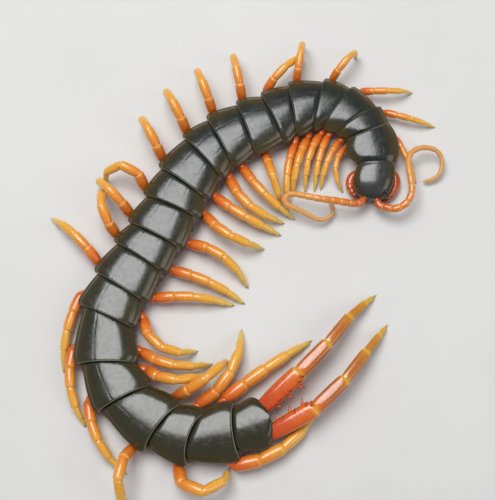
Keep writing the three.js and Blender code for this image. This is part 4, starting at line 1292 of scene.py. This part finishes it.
@dataclass
class Antennae:
    """Two feelers of eighteen articles each, from sockets in the head along their routes.

    A socket lies out, back and up on the head; `leaving` is in degrees outwards from straight ahead, and
    `hidden` the length inside the head.
    """

    head: Head
    root: float = 1.8
    tip: float = 0.85
    articles: int = 18
    socket: tuple[float, float, float] = (1.4, -0.1, 3.42)
    leaving: float = 30.0
    hidden: float = 1.5
    routes: dict[Side, Rows] = field(
        default_factory=lambda: {
            Side.RIGHT: (
                (22.6, 8.8, 4.0), (20.8, 8.9, 4.6), (18.6, 9.2, 5.0), (15.5, 9.6, 5.3), (12.5, 10.3, 5.2),
                (10.6, 10.8, 5.0), (9.1, 10.8, 4.8), (8.2, 9.9, 4.5), (8.6, 8.8, 4.2), (9.9, 8.2, 3.9),
                (12.0, 7.3, 3.4), (14.0, 6.3, 2.8), (15.8, 5.8, 2.2), (17.4, 6.4, 1.8), (18.4, 7.7, 1.5),
                (18.4, 9.1, 1.3), (17.5, 10.2, 1.2),
            ),
            Side.LEFT: (
                (29.6, 7.9, 3.6), (31.1, 7.4, 4.0), (32.8, 7.8, 4.3), (34.2, 9.0, 4.5), (35.0, 10.8, 4.7),
                (35.0, 13.0, 4.8), (34.7, 15.3, 4.8), (34.6, 17.6, 4.6), (35.3, 19.7, 4.3), (37.0, 20.8, 4.0),
                (39.2, 21.0, 3.6), (41.0, 20.4, 3.1), (41.9, 18.9, 2.5), (41.9, 16.9, 2.0), (41.0, 15.3, 1.6),
                (39.4, 14.5, 1.3), (37.8, 14.2, 1.1),
            ),
        }
    )

    def feeler(self, side: Side) -> Surface:
        """One feeler: each article starts narrow, widens to a rim near its end and draws in again."""
        out, back, height = self.socket
        end = self.head.spot(side.value * out, back, height)
        tailward = flat_direction(self.head.chain.head_heading)
        outward = np.cross(tailward, UP) * side.value
        leaving = math.radians(self.leaving)
        axis = outward * math.sin(leaving) - tailward * math.cos(leaving)
        points = np.array([end - axis * 1.3, end + axis * 0.3, end + axis * 1.1, *self.routes[side]])
        knots = way_along(points)
        fine = np.linspace(0, knots[-1], 900)
        way = way_along(smooth_curve(fine, knots, points))
        length = way[-1] - self.hidden
        t = np.array([0.0, 0.05, 0.12, 0.3, 0.55, 0.78, 0.86, 0.93, 0.97])
        share = ((np.arange(self.articles)[:, None] + t) / self.articles).ravel()
        within = np.tile(t, self.articles)
        article_at, article_width = [0, 0.06, 0.2, 0.78, 0.87, 0.95, 1], [0.8, 0.88, 0.93, 1.0, 1.0, 0.9, 0.8]
        swell = smooth_curve(within, article_at, article_width)
        rounding = np.sqrt(np.clip((1 - share) / 0.03, 0, 1))
        diameter = (self.root + (self.tip - self.root) * share) * swell * rounding
        inside = np.array([0.0, 0.5, 0.9, 1.15, 1.35])
        share = np.concatenate([(inside - self.hidden) / length, share, [1.0]])
        diameter = np.concatenate([[0.7, 0.9, 0.95, 1.05, 1.25], diameter, [0.06]])
        joint = np.concatenate([0 * inside, bell(within, 0.9, 0.1), [0]])
        centres = smooth_curve(np.interp(self.hidden + share * length, way, fine), knots, points)
        return swept(centres, UP, diameter / 2, 18, {"along": np.clip(share, 0, 1), "joint": joint})

    def build(self, finish: FeelerFinish) -> None:
        """Makes both feelers."""
        material = finish.build()
        for side in Side:
            name = f"antenna_{side.name.lower()}"
            nodes = [f"{name}_base", f"{name}_tip"]
            show(f"{name}_shell", [self.feeler(side)], material, nodes, sharp=70)


# Studio.


@dataclass(frozen=True)
class Lamp:
    """Square soft light: where it stands round and above the model, its distance, size and power."""

    name: str
    heading: float
    rise: float
    distance: float
    size: float
    watts: float


@dataclass
class Studio:
    """Pale floor, soft light from above, and the camera at the photograph's angle."""

    distance: float = 0.2
    elevation: float = 75.0
    turn: float = 14.0
    focal: float = 66.98
    film: float = 36.0
    floor_size: float = 1.6
    lamps: tuple[Lamp, ...] = (
        Lamp("sky", 118.0, 72.0, 0.42, 0.27, 1.6), Lamp("fill", -20.0, 40.0, 0.6, 0.35, 0.6),
    )

    def floor(self) -> None:
        """Plain pale floor, with a faint mottle."""
        half = self.floor_size / 2
        corners = [(-half, -half, 0), (half, -half, 0), (half, half, 0), (-half, half, 0)]
        mesh = bpy.data.meshes.new("floor")
        mesh.from_pydata(corners, [], [(0, 1, 2, 3)])
        s = Shader("pale_floor")
        s.set("Base Color", s.blend(s.noise(30.0, 3.0), (0.62, 0.61, 0.59), (0.70, 0.69, 0.67)))
        s.set("Roughness", 0.75)
        mesh.materials.append(s.material)
        floor = bpy.data.objects.new("floor", mesh)
        bpy.context.scene.collection.objects.link(floor)

    def light(self, lamp: Lamp) -> None:
        """Square soft light that faces the model from one direction."""
        data = bpy.data.lights.new(lamp.name, "AREA")
        data.shape = "SQUARE"
        data.size = lamp.size
        data.energy = lamp.watts
        light = bpy.data.objects.new(lamp.name, data)
        bpy.context.scene.collection.objects.link(light)
        light.matrix_world = self.facing(rising_direction(lamp.heading, lamp.rise), lamp.distance)

    def facing(self, back: Array, distance: float) -> Matrix:
        """Placing of a thing that looks at the origin from a distance, its right side level."""
        right = unit(np.cross(-back, [0.0, 1.0, 0.0]))
        columns = np.stack([right, np.cross(right, -back), back, back * distance], axis=1)
        return Matrix([*columns.tolist(), [0.0, 0.0, 0.0, 1.0]])

    def camera(self) -> None:
        """Camera that keeps the photograph's framing."""
        data = bpy.data.cameras.new("camera")
        data.sensor_width = self.film
        data.lens = self.focal
        data.clip_start = 0.01
        data.clip_end = 10.0
        camera = bpy.data.objects.new("camera", data)
        scene = bpy.context.scene
        scene.collection.objects.link(camera)
        back = rising_direction(self.turn - 90, self.elevation)
        matrix = self.facing(back, self.distance)
        matrix.translation.x -= float(ORIGIN[0]) * MM
        matrix.translation.y -= float(ORIGIN[1]) * MM
        camera.matrix_world = matrix
        scene.camera = camera

    def build(self) -> None:
        """Makes the floor, the lights, the surroundings and the camera."""
        self.floor()
        for lamp in self.lamps:
            self.light(lamp)
        world = bpy.data.worlds.new("surroundings")
        world.use_nodes = True
        background = world.node_tree.nodes["Background"]
        background.inputs["Color"].default_value = (0.86, 0.92, 1.0, 1.0)
        background.inputs["Strength"].default_value = 0.3
        bpy.context.scene.world = world
        bpy.context.scene.view_settings.view_transform = "Standard"
        self.camera()


# Colours along the shells, from root to foot.


LEG_STOPS = (
    (0.0, (0.62, 0.09, 0.006)), (0.13, (0.75, 0.18, 0.011)), (0.37, (0.82, 0.33, 0.024)),
    (0.67, (0.80, 0.45, 0.055)), (1.0, (0.66, 0.50, 0.12)),
)
LAST_LEG_STOPS = (
    (0.0, (0.54, 0.045, 0.006)), (0.1, (0.66, 0.095, 0.007)), (0.19, (0.70, 0.15, 0.010)),
    (0.24, (0.52, 0.13, 0.008)), (0.32, (0.40, 0.09, 0.006)), (0.4, (0.54, 0.17, 0.010)),
    (0.5, (0.38, 0.10, 0.007)), (0.6, (0.58, 0.22, 0.013)), (0.7, (0.48, 0.17, 0.010)),
    (0.8, (0.68, 0.34, 0.03)), (1.0, (0.58, 0.42, 0.05)),
)
CLAW_STOPS = (
    (0.0, (0.50, 0.07, 0.006)), (0.45, (0.58, 0.10, 0.008)), (0.62, (0.42, 0.04, 0.004)),
    (0.78, (0.10, 0.012, 0.003)), (1.0, (0.012, 0.006, 0.004)),
)
BELLY_STOPS = ((0.0, (0.36, 0.12, 0.03)), (1.0, (0.55, 0.22, 0.06)))
PALE_RING = (0.85, 0.5, 0.12)
GOLD_RING = (0.80, 0.46, 0.03)


def main() -> None:
    """Builds every piece in order and sets the studio."""
    logging.basicConfig(level=logging.INFO, format="%(name)s: %(message)s")
    dark = HornFinish("claw_dark", (0.10, 0.035, 0.012))
    amber = HornFinish("claw_amber", (0.50, 0.27, 0.05), turn=(0.35, 0.95))
    belly = LegFinish("belly_shell", BELLY_STOPS, (0.6, 0.3, 0.12), 0.4, 0.3)
    plates = PlateFinish()
    Trunk().build(plates, SkinFinish(), belly, HornFinish("hole_rim", (0.13, 0.08, 0.05), (0.06, 0.04, 0.03)))
    WalkingLegs().build(LegFinish("leg_shell", LEG_STOPS, PALE_RING), amber)
    spines = HornFinish("spine_shell", (0.66, 0.10, 0.008), turn=(0.62, 0.98))
    TrailingLegs().build(LegFinish("last_leg_shell", LAST_LEG_STOPS, GOLD_RING, 0.9, 0.17), spines, amber)
    head = Head()
    shield = PlateFinish("head_shield_horn", middle=(0.022, 0.030, 0.034), cloud=(0.036, 0.044, 0.046))
    head.build(shield, belly, LegFinish("poison_claw_shell", CLAW_STOPS, PALE_RING, 0.3), dark)
    Antennae(head).build(FeelerFinish())
    Studio().build()


if __name__ == "__main__":
    main()
